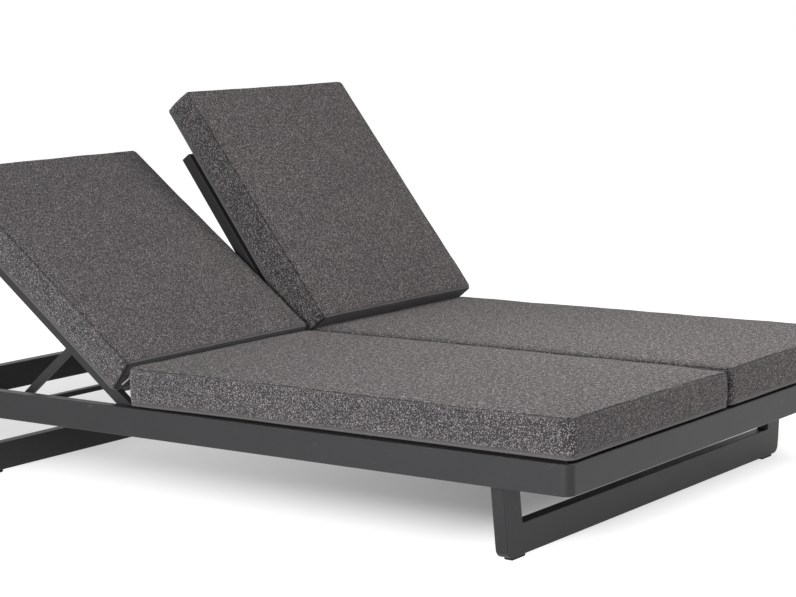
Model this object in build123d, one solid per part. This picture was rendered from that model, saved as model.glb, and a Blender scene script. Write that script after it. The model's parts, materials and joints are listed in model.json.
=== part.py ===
from build123d import *
import math
import os

# Double sun lounger for two people: one low tube frame on two sled legs, a fixed seat deck,
# and two backrests that recline one by one, each held up by a prop in a toothed rack.
# Millimetres. X runs across the lounger, Y from the foot end to the head end, Z up from the
# floor. The origin is on the floor under the middle of the frame. Left is the -X side.
# Both backrests and props are modelled lying flat and then turned up to their own notch.

# Main frame
length = 2000.0
width = 1464.0
rail_bottom = 183.0
rail_height = 70.0
rail_thickness = 32.0
corner_radius = 24.0
rail_edge_radius = 3.0
tube_wall = 2.0
overrun = 10.0

rail_top = rail_bottom + rail_height
half_length = length / 2
half_width = width / 2
rail_inner_x = half_width - rail_thickness
rail_inner_y = half_length - rail_thickness

# Sled legs
leg_thickness = 32.0
leg_clear_height = 8.0
leg_bar_height = 72.0
leg_post_width = 69.0
leg_side_inset = 44.0
leg_lean = 21.0
leg_corner_radius = 24.0
leg_edge_radius = 2.0
front_leg_inset = 196.5
rear_leg_inset = 141.0

leg_top_half_width = half_width - leg_side_inset
leg_bottom_half_width = leg_top_half_width - leg_lean
front_leg_y = -half_length + front_leg_inset + leg_thickness / 2
rear_leg_y = half_length - rear_leg_inset - leg_thickness / 2

# Low cross rails that the legs are bolted to. The rear one leaves two windows for the props.
cross_rail_width = 50.0
cross_rail_height = 30.0
rear_window_start = 34.0
rear_window_end = 602.0
bolt_radius = 4.0
bolt_head_radius = 6.5
bolt_head_height = 4.5
head_taper_share = 0.8
bolt_hole_clearance = 0.2
bolt_pair_spacing = 36.0
leg_insert_depth = 24.0
leg_insert_clearance = 0.1

# Glides under the legs
glide_length = 52.0
glide_width = 22.0
glide_chamfer = 2.0
glide_end_inset = 26.0

# Backrest hinge line, placed from the head end
hinge_to_head_end = 728.0
hinge_y = half_length - hinge_to_head_end

# Seat deck
seat_rail_to_hinge = 59.0
seat_rail_front_y = hinge_y - seat_rail_to_hinge
batten_width = 30.0
batten_height = 30.0
batten_count = 3
slat_thickness = 6.0
slat_wall = 2.0
slat_edge_radius = 1.5
slat_count = 5
seat_slat_width = 60.0
seat_slat_count = 6
seat_slat_rail_overlap = 14.0
seat_slat_front_inset = 15.0
seat_slat_rear_inset = 5.0
centre_margin = 5.0

# Centre beam between the two backrests
centre_beam_width = 26.0
hinge_plate_thickness = 6.0
hinge_plate_length = 46.0
hinge_plate_radius = 10.0

# Backrest frames
stile_width = 22.0
stile_depth = 30.0
stile_nose = 15.0
stile_end_clearance = 2.0
outer_stile_gap = 3.0
cap_plug_length = 7.0
cap_plug_clearance = 0.1
stile_wall = 1.8
stile_edge_radius = 2.0
hinge_pin_radius = 4.0
running_clearance = 0.05
bush_radius = 6.0
bush_clearance = 0.02
washer_radius = 9.0
washer_clearance = 0.3
hinge_thread_length = 12.0

hinge_z = rail_top - stile_depth / 2
stile_end = rail_inner_y - stile_end_clearance - hinge_y
inner_stile_out = centre_margin
outer_stile_out = rail_inner_x - outer_stile_gap
inner_stile_in = inner_stile_out + stile_width
outer_stile_in = outer_stile_out - stile_width
back_rail_width = 22.0
back_lower_rail_start = 74.0
back_middle_rail_start = 558.0
back_upper_rail_inset = 2.0
back_slat_width = 50.0
back_rail_start_list = (back_lower_rail_start, back_middle_rail_start,
                        stile_end - back_upper_rail_inset - back_rail_width)

# Prop: two arms on the stiles, joined by a foot bar, with a peg at each end
prop_pivot_distance = 246.0
prop_length = 282.0
arm_height = 20.0
arm_thickness = 12.0
arm_gap = 2.0
arm_edge_radius = 1.0
prop_pin_radius = 5.0
prop_pin_head_radius = 8.0
prop_pin_head_height = 4.0
prop_pin_grip = 8.0
foot_bar_depth = 20.0
foot_bar_height = 13.0
foot_bar_edge_radius = 1.5
foot_rest_z = 206.5
peg_radius = 6.0
peg_end_clearance = 2.0

# Toothed racks. The notch counts say how many notches each backrest rests below the steepest.
rack_thickness = 12.0
rack_first_notch = 309.0
notch_pitch = 53.0
notch_count = 4
notch_radius = 6.5
notch_depth = 5.0
rack_end_length = 32.0
rack_end_radius = 5.0
tooth_clearance = 1.2
rack_screw_radius = 2.5
rack_screw_head_radius = 4.5
rack_screw_head_height = 1.6
rack_screw_height = 7.0
left_notch_count = 2
right_notch_count = 0

# Pads that the backrests come down on, set back from the leg bolts
pad_radius = 9.0
pad_gap = 0.3
pad_set_back = 12.0

# Cushions
cushion_gap = 0.3
seat_cushion_front_inset = 1.0
seat_cushion_to_hinge = 19.0
seat_cushion_side_inset = 10.0
cushion_middle_gap = 4.0
seat_cushion_height = 90.0
back_cushion_height = 88.0
cushion_crown = 9.0
seat_cushion_corner_radius = 22.0
back_cushion_corner_radius = 14.0
cushion_draw_in = 3.0
cushion_edge_radius = 5.0
cushion_under_radius = 7.0
seat_cushion_rear_radius = 9.0
back_cushion_end_radius = 8.0
back_cushion_length = 762.0
right_cushion_lower_rise = 21.0
left_cushion_lower_rise = 0.0
left_cushion_clearance = 6.2
right_cushion_clearance = 2.5
left_cushion_middle_inset = 8.0
left_cushion_side_inset = 12.0
right_cushion_middle_inset = 13.0
right_cushion_side_inset = 7.0

# Zip sliders at the lower ends of the back cushions
zip_body_length = 13.0
zip_body_width = 8.0
zip_body_height = 3.0
zip_tab_length = 16.0
zip_tab_width = 5.0
zip_tab_thickness = 1.4
zip_edge_radius = 0.6
zip_side_inset = 34.0
zip_rise = 46.0
zip_gap = 0.3

cushion_floor_z = rail_top + slat_thickness + cushion_gap

# Crown rings, from the seam at the edge to the middle of the cushion: how far in each ring
# lies as a share of half the width, and how high as a share of the crown.
crown_inset_shares = (0.06, 0.2, 0.5)
crown_height_shares = (0.38, 0.75, 1.0)


def block(x, y, z):
    """Box between three low and high pairs."""
    sizes = [high - low for low, high in (x, y, z)]
    middles = [(high + low) / 2 for low, high in (x, y, z)]
    return Pos(*middles) * Box(*sizes)


def shrunk(pair, inset):
    """A low and high pair drawn in by the inset at both ends."""
    return (pair[0] + inset, pair[1] - inset)


def tube(x, y, z, axis, wall, radius):
    """Open rectangular tube that runs along the axis, with rounded long edges."""
    outside = block(x, y, z)
    outside = fillet(outside.edges().filter_by(axis), radius)
    insets = [-overrun if axis == run else wall for run in (Axis.X, Axis.Y, Axis.Z)]
    bore = block(*[shrunk(pair, inset) for pair, inset in zip((x, y, z), insets)])
    return outside - bore


def rod(radius, start, end, axis):
    """Round bar from the start point, as long as the end value says, along X or Z."""
    turn = Rot(0, 90, 0) if axis == Axis.X else Rot(0, 0, 0)
    bar = Cylinder(radius, abs(end), align=(Align.CENTER, Align.CENTER, Align.MIN))
    if end < 0:
        bar = mirror(bar, Plane.XY)
    return Pos(*start) * turn * bar


def across(side, near, far):
    """Low and high X of a piece between two distances from the middle, on one side."""
    return tuple(sorted((side * near, side * far)))


def spread(low, high, size, count):
    """Low ends of equal pieces with equal gaps between two limits."""
    gap = (high - low - size * count) / (count + 1)
    return [low + gap + (size + gap) * number for number in range(count)]


def save(name, shapes):
    """Write one node from its separate solids."""
    solids = [solid for shape in shapes for solid in shape.solids()]
    export_step(Compound(children=solids), os.path.join("parts", name + ".step"))


# Frame

def frame_ring():
    """Whole perimeter of the frame as one hollow tube with rounded outer corners."""
    outline = RectangleRounded(width, length, corner_radius)
    window = Rectangle(2 * rail_inner_x, 2 * rail_inner_y)
    ring = Pos(0, 0, rail_bottom) * extrude(outline - window, rail_height)
    flat_edges = ring.faces().sort_by(Axis.Z)[0].edges() + ring.faces().sort_by(Axis.Z)[-1].edges()
    ring = fillet(flat_edges, rail_edge_radius)
    cavity = RectangleRounded(width - 2 * tube_wall, length - 2 * tube_wall, corner_radius - tube_wall)
    cavity -= Rectangle(2 * (rail_inner_x + tube_wall), 2 * (rail_inner_y + tube_wall))
    cavity_height = rail_height - 2 * tube_wall
    return ring - Pos(0, 0, rail_bottom + tube_wall) * extrude(cavity, cavity_height)


def mitre_wedge(side):
    """Room of one side rail, cut at 45 degrees at both of its ends."""
    out_x = half_width + overrun
    out_y = half_length + overrun
    in_x = rail_inner_x - overrun
    in_y = rail_inner_y - overrun
    points = [(side * out_x, -out_y), (side * in_x, -in_y), (side * in_x, in_y), (side * out_x, out_y)]
    face = make_face(Polyline(*points, close=True))
    return Pos(0, 0, rail_bottom - overrun) * extrude(face, rail_height + 2 * overrun)


def hinge_hole(side):
    """Hole for the outer hinge bolt in a side rail's inner wall."""
    radius = hinge_pin_radius + running_clearance
    start = (side * (rail_inner_x - overrun), hinge_y, hinge_z)
    return rod(radius, start, side * (overrun + hinge_thread_length + running_clearance), Axis.X)


def main_rails():
    ring = frame_ring()
    left_wedge = mitre_wedge(-1)
    right_wedge = mitre_wedge(1)
    save("side_rail_left", [(ring & left_wedge) - hinge_hole(-1)])
    save("side_rail_right", [(ring & right_wedge) - hinge_hole(1)])
    ends = (ring - left_wedge - right_wedge).solids().sort_by(Axis.Y)
    save("front_rail", [ends[0]])
    save("rear_rail", [ends[-1]])


def leg_face(inset, top):
    """U outline of a sled leg in the XZ plane, drawn in by the inset."""
    lean = (leg_top_half_width - leg_bottom_half_width) / (rail_bottom - leg_clear_height)
    bottom = leg_clear_height + inset
    bar_top = leg_clear_height + leg_bar_height - inset

    def outer_x(height):
        return leg_bottom_half_width + lean * (height - leg_clear_height) - inset

    def inner_x(height):
        return outer_x(height) + inset - leg_post_width + inset

    points = [(-outer_x(top), top), (-outer_x(bottom), bottom), (outer_x(bottom), bottom),
              (outer_x(top), top), (inner_x(top), top), (inner_x(bar_top), bar_top),
              (-inner_x(bar_top), bar_top), (-inner_x(top), top)]
    face = Plane.XZ * make_face(Polyline(*points, close=True))
    feet = face.vertices().group_by(Axis.Z)[0]
    return fillet(feet, leg_corner_radius - inset)


def leg_slab(y, inset, top, thickness):
    """Leg outline made solid about a middle Y."""
    return Pos(0, y, 0) * extrude(leg_face(inset, top), thickness / 2, both=True)


def sled_leg(y):
    """Hollow leg, open at the tops of its posts."""
    outside = leg_slab(y, 0, rail_bottom, leg_thickness)
    faces = outside.faces().sort_by(Axis.Y)
    rims = faces[0].edges() + faces[-1].edges()
    mouths = [edge for edge in rims if edge.bounding_box().min.Z > rail_bottom - leg_edge_radius]
    outside = fillet([edge for edge in rims if edge not in mouths], leg_edge_radius)
    bore = leg_slab(y, tube_wall, rail_bottom + overrun, leg_thickness - 2 * tube_wall)
    return outside - bore


def leg_bolt_places():
    """Middles of the four bolts of one leg along X."""
    post_middle = leg_top_half_width - leg_post_width / 2
    return [side * (post_middle + step * bolt_pair_spacing / 2) for side in (-1, 1) for step in (-1, 1)]


def leg_inserts(y):
    """Threaded blocks in the tops of a leg's posts."""
    inset = tube_wall + leg_insert_clearance
    thickness = leg_thickness - 2 * inset
    core = leg_slab(y, inset, rail_bottom, thickness)
    room = block((-half_width, half_width), (y - thickness, y + thickness),
                 (rail_bottom - leg_insert_depth, rail_bottom))
    core = core & room
    for x in leg_bolt_places():
        core -= rod(bolt_radius + running_clearance, (x, y, rail_bottom + overrun),
                    -(2 * overrun + leg_insert_depth), Axis.Z)
    return core


def leg_bolts(y):
    bolts = []
    seat_z = rail_bottom + cross_rail_height
    reach = cross_rail_height + leg_insert_depth
    for x in leg_bolt_places():
        bolt = rod(bolt_radius, (x, y, seat_z), -reach, Axis.Z)
        hexagon = RegularPolygon(bolt_head_radius, 6, major_radius=False)
        bolts.append(bolt + Pos(x, y, seat_z) * extrude(hexagon, bolt_head_height))
    return bolts


def leg_cross_rail(y):
    """Low tube between the side rails that one leg is bolted to."""
    rail = tube((-rail_inner_x, rail_inner_x), (y - cross_rail_width / 2, y + cross_rail_width / 2),
                (rail_bottom, rail_bottom + cross_rail_height), Axis.X, tube_wall, rail_edge_radius)
    for x in leg_bolt_places():
        rail -= rod(bolt_radius + bolt_hole_clearance, (x, y, rail_bottom - overrun),
                    cross_rail_height + 2 * overrun, Axis.Z)
    return rail


def rear_windows():
    """Room cut out of the rear cross rail on both sides of its middle piece."""
    y = (rear_leg_y - cross_rail_width, rear_leg_y + cross_rail_width)
    z = (rail_bottom - overrun, rail_bottom + cross_rail_height + overrun)
    return [block(across(side, rear_window_start, rear_window_end), y, z) for side in (-1, 1)]


def glides(y):
    pads = []
    for side in (-1, 1):
        outer = leg_bottom_half_width - glide_end_inset
        pad = block(across(side, outer - glide_length, outer),
                    (y - glide_width / 2, y + glide_width / 2), (0, leg_clear_height))
        pads.append(chamfer(pad.faces().sort_by(Axis.Z)[0].edges(), glide_chamfer))
    return pads


def legs():
    for name, y in (("front", front_leg_y), ("rear", rear_leg_y)):
        save(name + "_leg", [sled_leg(y)])
    save("front_cross_rail", [leg_cross_rail(front_leg_y)])
    save("rear_cross_rail", [leg_cross_rail(rear_leg_y) - rear_windows()])
    leg_rows = (front_leg_y, rear_leg_y)
    save("leg_inserts", [leg_inserts(y) for y in leg_rows])
    save("leg_bolts", [bolt for y in leg_rows for bolt in leg_bolts(y)])
    save("glides", [pad for y in leg_rows for pad in glides(y)])


# Seat deck

def slat(x, y, z):
    """Folded slat: a thin top with two lips turned down along Y."""
    bar = fillet(block(x, y, z).edges().filter_by(Axis.Y).sort_by(Axis.Z)[-2:], slat_edge_radius)
    trough = block(shrunk(x, slat_wall), shrunk(y, -overrun), (z[0] - overrun, z[1] - slat_wall))
    return bar - trough


def seat_deck():
    seat_rail_y = (seat_rail_front_y, seat_rail_front_y + rail_thickness)
    rail = tube((-rail_inner_x, rail_inner_x), seat_rail_y, (rail_bottom, rail_top),
                Axis.X, tube_wall, rail_edge_radius)
    save("seat_rear_rail", [rail])
    starts = spread(-rail_inner_y, seat_rail_front_y, batten_width, batten_count)
    battens = [tube((-rail_inner_x, rail_inner_x), (start, start + batten_width),
                    (rail_top - batten_height, rail_top), Axis.X, tube_wall, rail_edge_radius)
               for start in starts]
    save("seat_battens", battens)
    slat_y = (-half_length + seat_slat_front_inset, seat_rail_y[1] - seat_slat_rear_inset)
    slat_z = (rail_top, rail_top + slat_thickness)
    for name, side in (("left", -1), ("right", 1)):
        last = rail_inner_x + seat_slat_rail_overlap - seat_slat_width
        step = (last - centre_margin) / (seat_slat_count - 1)
        places = [centre_margin + step * number for number in range(seat_slat_count)]
        slats = [slat(across(side, near, near + seat_slat_width), slat_y, slat_z) for near in places]
        save("seat_slats_" + name, slats)


# Centre beam, hinge hardware and racks

def centre_beam():
    """Low beam in line between the backrests, cut where the rear cross rail passes."""
    height = (rail_bottom, rail_bottom + cross_rail_height)
    x = (-centre_beam_width / 2, centre_beam_width / 2)
    beam_start = seat_rail_front_y + rail_thickness
    crossing = (rear_leg_y - cross_rail_width / 2, rear_leg_y + cross_rail_width / 2)
    front = tube(x, (beam_start, crossing[0]), height, Axis.Y, tube_wall, rail_edge_radius)
    rear = tube(x, (crossing[1], rail_inner_y), height, Axis.Y, tube_wall, rail_edge_radius)
    return [front, rear]


def centre_plate():
    """Upright plate on the beam that carries the inner ends of both backrests."""
    plate = block((-hinge_plate_thickness / 2, hinge_plate_thickness / 2),
                  (hinge_y - hinge_plate_length / 2, hinge_y + hinge_plate_length / 2),
                  (rail_bottom + cross_rail_height, rail_top))
    plate = fillet(plate.edges().filter_by(Axis.X).group_by(Axis.Z)[-1], hinge_plate_radius)
    hole = rod(hinge_pin_radius + running_clearance, (-overrun, hinge_y, hinge_z), 2 * overrun, Axis.X)
    return plate - hole


def button(radius, start, reach):
    """Bolt head that grows from a start point along X and tapers a little."""
    head = Cone(radius, radius * head_taper_share, abs(reach), align=(Align.CENTER, Align.CENTER, Align.MIN))
    turn = Rot(0, math.copysign(90, reach), 0)
    return Pos(*start) * turn * head


def outer_hinge_bolt(side):
    """Shoulder bolt through an outer stile into the side rail."""
    head_seat = outer_stile_in - washer_clearance
    shank = rail_inner_x + hinge_thread_length - head_seat
    start = (side * head_seat, hinge_y, hinge_z)
    bolt = rod(hinge_pin_radius, start, side * shank, Axis.X)
    return bolt + button(bolt_head_radius, start, -side * bolt_head_height)


def centre_hinge_pin():
    """Long pin through both inner stiles and the centre plate, with a head at each end."""
    reach = inner_stile_in + washer_clearance
    pin = rod(hinge_pin_radius, (-reach, hinge_y, hinge_z), 2 * reach, Axis.X)
    for side in (-1, 1):
        start = (side * reach, hinge_y, hinge_z)
        pin += button(bolt_head_radius, start, side * bolt_head_height)
    return pin


def washer(side, near, far):
    """Nylon washer between two distances from the middle, on the hinge line."""
    disc = rod(washer_radius, (side * near, hinge_y, hinge_z), side * (far - near), Axis.X)
    start = (side * (near - overrun), hinge_y, hinge_z)
    return disc - rod(hinge_pin_radius + running_clearance, start, side * (far - near + 2 * overrun), Axis.X)


def hinge_hardware():
    save("centre_beam", centre_beam())
    save("hinge_plate", [centre_plate()])
    save("outer_hinge_bolts", [outer_hinge_bolt(side) for side in (-1, 1)])
    save("centre_hinge_pin", [centre_hinge_pin()])
    washers = []
    for side in (-1, 1):
        washers.append(washer(side, outer_stile_out + washer_clearance, rail_inner_x))
        washers.append(washer(side, hinge_plate_thickness / 2, inner_stile_out - washer_clearance))
    save("hinge_washers", washers)


def notch_places():
    """Y of each rack notch, from the steepest position to the flattest."""
    return [hinge_y + rack_first_notch + notch_pitch * number for number in range(notch_count)]


def rack_screw_places():
    places = notch_places()
    margin = rack_end_length / 2
    return (places[0] - margin, places[-1] + margin)


def rack(side, near, far):
    """Toothed plate between two distances from the middle, with round notches in its top."""
    tip_z = foot_rest_z - peg_radius - tooth_clearance
    places = notch_places()
    plate = block(across(side, near, far), (places[0] - rack_end_length, places[-1] + rack_end_length),
                  (rail_bottom, tip_z))
    plate = fillet(plate.edges().filter_by(Axis.X).group_by(Axis.Z)[-1], rack_end_radius)
    notch_z = tip_z - notch_depth + notch_radius
    for y in places:
        start = (side * (near - overrun), y, notch_z)
        plate -= rod(notch_radius, start, side * (far - near + 2 * overrun), Axis.X)
    for y in rack_screw_places():
        start = (side * (near - overrun), y, rail_bottom + rack_screw_height)
        plate -= rod(rack_screw_radius + running_clearance, start,
                     side * (far - near + 2 * overrun), Axis.X)
    return plate


def rack_span(outer):
    """Near and far distance of a rack from the middle of the lounger."""
    if outer:
        return (rail_inner_x - rack_thickness, rail_inner_x)
    return (centre_beam_width / 2, centre_beam_width / 2 + rack_thickness)


def rack_screw(side, outer, y):
    """Screw through a rack, with its head on the face that looks at the prop."""
    near, far = rack_span(outer)
    inward = -side if outer else side
    start = (side * (near if outer else far), y, rail_bottom + rack_screw_height)
    shank = rod(rack_screw_radius, start, -inward * rack_thickness, Axis.X)
    return shank + button(rack_screw_head_radius, start, inward * rack_screw_head_height)


def racks():
    screws = []
    for name, side in (("left", -1), ("right", 1)):
        for place, outer in (("outer", True), ("inner", False)):
            save(place + "_rack_" + name, [rack(side, *rack_span(outer))])
            screws += [rack_screw(side, outer, y) for y in rack_screw_places()]
    save("rack_screws", screws)


def rest_pads():
    """Pads on the rear cross rail, one under each stile."""
    low = rail_bottom + cross_rail_height
    high = hinge_z - stile_depth / 2 - pad_gap
    middles = (inner_stile_out + stile_width / 2, outer_stile_out - stile_width / 2)
    pad_y = rear_leg_y + pad_set_back
    pads = [rod(pad_radius, (side * middle, pad_y, low), high - low, Axis.Z)
            for side in (-1, 1) for middle in middles]
    save("rest_pads", pads)


# Backrests, built flat

def backrest_angle(notch):
    """Angle of the backrest, in degrees, with the prop's foot over one notch."""
    drop = hinge_z - foot_rest_z
    run = rack_first_notch + notch_pitch * notch
    span = math.hypot(run, drop)
    cosine = (prop_pivot_distance ** 2 + span ** 2 - prop_length ** 2) / (2 * prop_pivot_distance * span)
    return math.degrees(math.acos(cosine) - math.atan2(drop, run))


def prop_angle(angle):
    """Slope of the prop below level, in degrees, for one backrest angle."""
    rise = hinge_z - foot_rest_z + prop_pivot_distance * math.sin(math.radians(angle))
    return math.degrees(math.asin(rise / prop_length))


def turned_up(shapes, angle):
    """Flat shapes turned up about the hinge line."""
    hinge_line = Axis((0, hinge_y, hinge_z), (1, 0, 0))
    return [shape.rotate(hinge_line, angle) for shape in shapes]


def stile_span(side, outer):
    if outer:
        return across(side, outer_stile_in, outer_stile_out)
    return across(side, inner_stile_out, inner_stile_in)


def stile(side, outer):
    """Long tube of a backrest, with seats for the hinge bush and the prop's pin."""
    x = stile_span(side, outer)
    z = (hinge_z - stile_depth / 2, hinge_z + stile_depth / 2)
    bar = tube(x, (hinge_y - stile_nose, hinge_y + stile_end), z, Axis.Y, stile_wall, stile_edge_radius)
    start = (x[0] - overrun, hinge_y, hinge_z)
    bar -= rod(bush_radius + bush_clearance, start, stile_width + 2 * overrun, Axis.X)
    inner_face = outer_stile_in if outer else inner_stile_in
    inward = -side if outer else side
    pivot = (side * inner_face + inward * overrun, hinge_y + prop_pivot_distance, hinge_z)
    bar -= rod(prop_pin_radius + running_clearance, pivot, -inward * (overrun + prop_pin_grip), Axis.X)
    return bar


def stile_caps(side, outer):
    """Plastic plugs that close both ends of a stile."""
    x = stile_span(side, outer)
    z = (hinge_z - stile_depth / 2, hinge_z + stile_depth / 2)
    inset = stile_wall + cap_plug_clearance
    caps = []
    for end, outward in ((hinge_y - stile_nose, -1), (hinge_y + stile_end, 1)):
        plug_y = tuple(sorted((end, end - outward * cap_plug_length)))
        caps.append(block(shrunk(x, inset), plug_y, shrunk(z, inset)))
    return caps


def hinge_bush(side, outer):
    """Bush that turns on the hinge bolt, as long as the stile is wide."""
    x = stile_span(side, outer)
    sleeve = rod(bush_radius, (x[0], hinge_y, hinge_z), stile_width, Axis.X)
    bore_start = (x[0] - overrun, hinge_y, hinge_z)
    return sleeve - rod(hinge_pin_radius + running_clearance, bore_start, stile_width + 2 * overrun, Axis.X)


def back_rail(side, start):
    """Tube between the two stiles of a backrest."""
    y = (hinge_y + start, hinge_y + start + back_rail_width)
    z = (hinge_z - stile_depth / 2, hinge_z + stile_depth / 2)
    return tube(across(side, inner_stile_in, outer_stile_in), y, z, Axis.X, stile_wall, stile_edge_radius)


def back_slats(side):
    y = (hinge_y + back_lower_rail_start, hinge_y + stile_end - back_upper_rail_inset)
    z = (rail_top, rail_top + slat_thickness)
    places = spread(inner_stile_in, outer_stile_in, back_slat_width, slat_count)
    return [slat(across(side, near, near + back_slat_width), y, z) for near in places]


def prop_pin(side, outer):
    """Shoulder pin that a prop arm turns on, fixed in the stile."""
    inner_face = outer_stile_in if outer else inner_stile_in
    inward = -side if outer else side
    pivot_y = hinge_y + prop_pivot_distance
    head_x = side * inner_face + inward * (arm_gap + arm_thickness + washer_clearance)
    reach = arm_gap + arm_thickness + washer_clearance + prop_pin_grip
    pin = rod(prop_pin_radius, (head_x, pivot_y, hinge_z), -inward * reach, Axis.X)
    head = button(prop_pin_head_radius, (head_x, pivot_y, hinge_z), inward * prop_pin_head_height)
    return pin + head


def prop_washer(side, outer):
    """Washer that keeps an arm off its stile."""
    inner_face = outer_stile_in if outer else inner_stile_in
    inward = -side if outer else side
    thickness = arm_gap - washer_clearance
    centre = (side * inner_face, hinge_y + prop_pivot_distance, hinge_z)
    disc = rod(prop_pin_head_radius, centre, inward * thickness, Axis.X)
    start = (side * inner_face - inward * overrun, centre[1], centre[2])
    hole = rod(prop_pin_radius + running_clearance, start, inward * (thickness + 2 * overrun), Axis.X)
    return disc - hole


def backrest(name, side, angle):
    ends = (False, True)
    for outer in ends:
        place = "outer" if outer else "inner"
        save(place + "_stile_" + name, turned_up([stile(side, outer)], angle))
    save("stile_caps_" + name,
         turned_up([cap for outer in ends for cap in stile_caps(side, outer)], angle))
    save("hinge_bushes_" + name, turned_up([hinge_bush(side, outer) for outer in ends], angle))
    rails = [back_rail(side, start) for start in back_rail_start_list]
    save("back_lower_rail_" + name, turned_up(rails[:1], angle))
    save("back_upper_rails_" + name, turned_up(rails[1:], angle))
    save("back_slats_" + name, turned_up(back_slats(side), angle))
    save("prop_pins_" + name, turned_up([prop_pin(side, outer) for outer in ends], angle))
    save("prop_washers_" + name, turned_up([prop_washer(side, outer) for outer in ends], angle))


# Props, built level from the pivot towards the head end

def arm_span(side, outer):
    if outer:
        return across(side, outer_stile_in - arm_gap - arm_thickness, outer_stile_in - arm_gap)
    return across(side, inner_stile_in + arm_gap, inner_stile_in + arm_gap + arm_thickness)


def prop_arm(side, outer, pivot):
    """Flat arm with round ends, from the stile's pin to the foot bar."""
    x = arm_span(side, outer)
    outline = SlotCenterToCenter(prop_length, arm_height)
    bar = extrude(Plane.YZ * outline, arm_thickness)
    bar = chamfer(bar.faces().filter_by(Axis.X).edges(), arm_edge_radius)
    bar = Pos(x[0], pivot[1] + prop_length / 2, pivot[2]) * bar
    return bar - rod(prop_pin_radius + running_clearance, (x[0] - overrun, pivot[1], pivot[2]),
                     arm_thickness + 2 * overrun, Axis.X)


def foot_bar(side, pivot):
    """Level tube between the arms, turned against the arms by the slope of the left prop."""
    x = (arm_span(side, False), arm_span(side, True))
    inner = min(x, key=lambda pair: abs(sum(pair)))
    outer = max(x, key=lambda pair: abs(sum(pair)))
    near = max(abs(inner[0]), abs(inner[1]))
    far = min(abs(outer[0]), abs(outer[1]))
    foot_y = pivot[1] + prop_length
    bar = tube(across(side, near, far), (foot_y - foot_bar_depth / 2, foot_y + foot_bar_depth / 2),
               (pivot[2] - foot_bar_height / 2, pivot[2] + foot_bar_height / 2),
               Axis.X, stile_wall, foot_bar_edge_radius)
    foot_line = Axis((0, foot_y, pivot[2]), (1, 0, 0))
    return bar.rotate(foot_line, prop_angle(backrest_angle(left_notch_count)))


def prop_pegs(side, pivot):
    """Round pegs that stand out from the arms over the racks."""
    foot_y = pivot[1] + prop_length
    outer_start = outer_stile_in - arm_gap
    inner_start = inner_stile_in + arm_gap
    outer_reach = rail_inner_x - peg_end_clearance - outer_start
    inner_reach = inner_start - centre_beam_width / 2 - peg_end_clearance
    return [rod(peg_radius, (side * outer_start, foot_y, pivot[2]), side * outer_reach, Axis.X),
            rod(peg_radius, (side * inner_start, foot_y, pivot[2]), -side * inner_reach, Axis.X)]


def prop(name, side, angle):
    rise = math.radians(angle)
    pivot = (0, hinge_y + prop_pivot_distance * math.cos(rise),
             hinge_z + prop_pivot_distance * math.sin(rise))
    pivot_line = Axis(pivot, (1, 0, 0))
    slope = -prop_angle(angle)
    for part, shapes in (("prop_arms_", [prop_arm(side, outer, pivot) for outer in (False, True)]),
                         ("prop_foot_bar_", [foot_bar(side, pivot)]),
                         ("prop_pegs_", prop_pegs(side, pivot))):
        save(part + name, [shape.rotate(pivot_line, slope) for shape in shapes])


# Cushions

def cushion_outline(across_x, along_y, corner_radius, inset, rear_inset):
    """Cushion outline with round corners and drawn-in sides, moved in by the insets."""
    half_x = across_x / 2 - inset
    half_y = (along_y - inset - rear_inset) / 2
    radius = max(corner_radius - inset, corner_radius / 2)
    bend = radius * (1 - math.sqrt(1 / 2))
    corners = []
    for sx, sy in ((1, 1), (-1, 1), (-1, -1), (1, -1)):
        on_side = (sx * half_x, sy * (half_y - radius))
        on_end = (sx * (half_x - radius), sy * half_y)
        middle = (sx * (half_x - bend), sy * (half_y - bend))
        corners.append((on_side, middle, on_end) if sx == sy else (on_end, middle, on_side))
    arcs = []
    for number, corner in enumerate(corners):
        start = corner[-1]
        end = corners[(number + 1) % len(corners)][0]
        if start[0] == end[0]:
            middle = (start[0] - math.copysign(cushion_draw_in, start[0]), 0)
        else:
            middle = (0, start[1] - math.copysign(cushion_draw_in, start[1]))
        arcs += [ThreePointArc(*corner), ThreePointArc(start, middle, end)]
    return Pos(0, (inset - rear_inset) / 2, 0) * make_face(arcs)


def cushion(across_x, along_y, height, corner_radius, rear_radius, lower_rise=0.0):
    """Padded box on zero height, with a seam round its upper edge and a crowned top.

    The lower rise makes the end at low Y thicker than the other end."""
    under = cushion_under_radius
    edge = cushion_edge_radius
    part_in = 1 - math.sqrt(1 / 2)
    rings = [(under, under, 0), (0, 0, under), (0, 0, height - rear_radius),
             (edge * part_in, rear_radius * part_in, height - rear_radius * part_in),
             (edge, rear_radius, height)]
    for inset_share, height_share in zip(crown_inset_shares, crown_height_shares):
        inset = across_x / 2 * inset_share
        rear_inset = inset + rear_radius - edge
        rings.append((inset, rear_inset, height + cushion_crown * height_share))
    slope = math.degrees(math.atan(lower_rise / along_y))
    faces = []
    for inset, rear_inset, level in rings:
        share = min(level / height, 1)
        place = Pos(0, 0, level + share * lower_rise / 2) * Rot(-slope * share, 0, 0)
        faces.append(place * cushion_outline(across_x, along_y, corner_radius, inset, rear_inset))
    return loft(faces, ruled=True)


def zip_slider():
    """Slider and pull tab of a zip, lying on a face at zero height, tab along X."""
    body = Pos(0, 0, zip_body_height / 2) * Box(zip_body_length, zip_body_width, zip_body_height)
    body = fillet(body.edges().filter_by(Axis.Z), zip_edge_radius)
    tab_x = zip_body_length / 2 + zip_tab_length / 2 - zip_body_height
    tab = Pos(tab_x, 0, zip_body_height + zip_tab_thickness / 2) * Box(
        zip_tab_length, zip_tab_width, zip_tab_thickness)
    tab = fillet(tab.edges().filter_by(Axis.Z), zip_edge_radius)
    return body + tab


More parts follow.
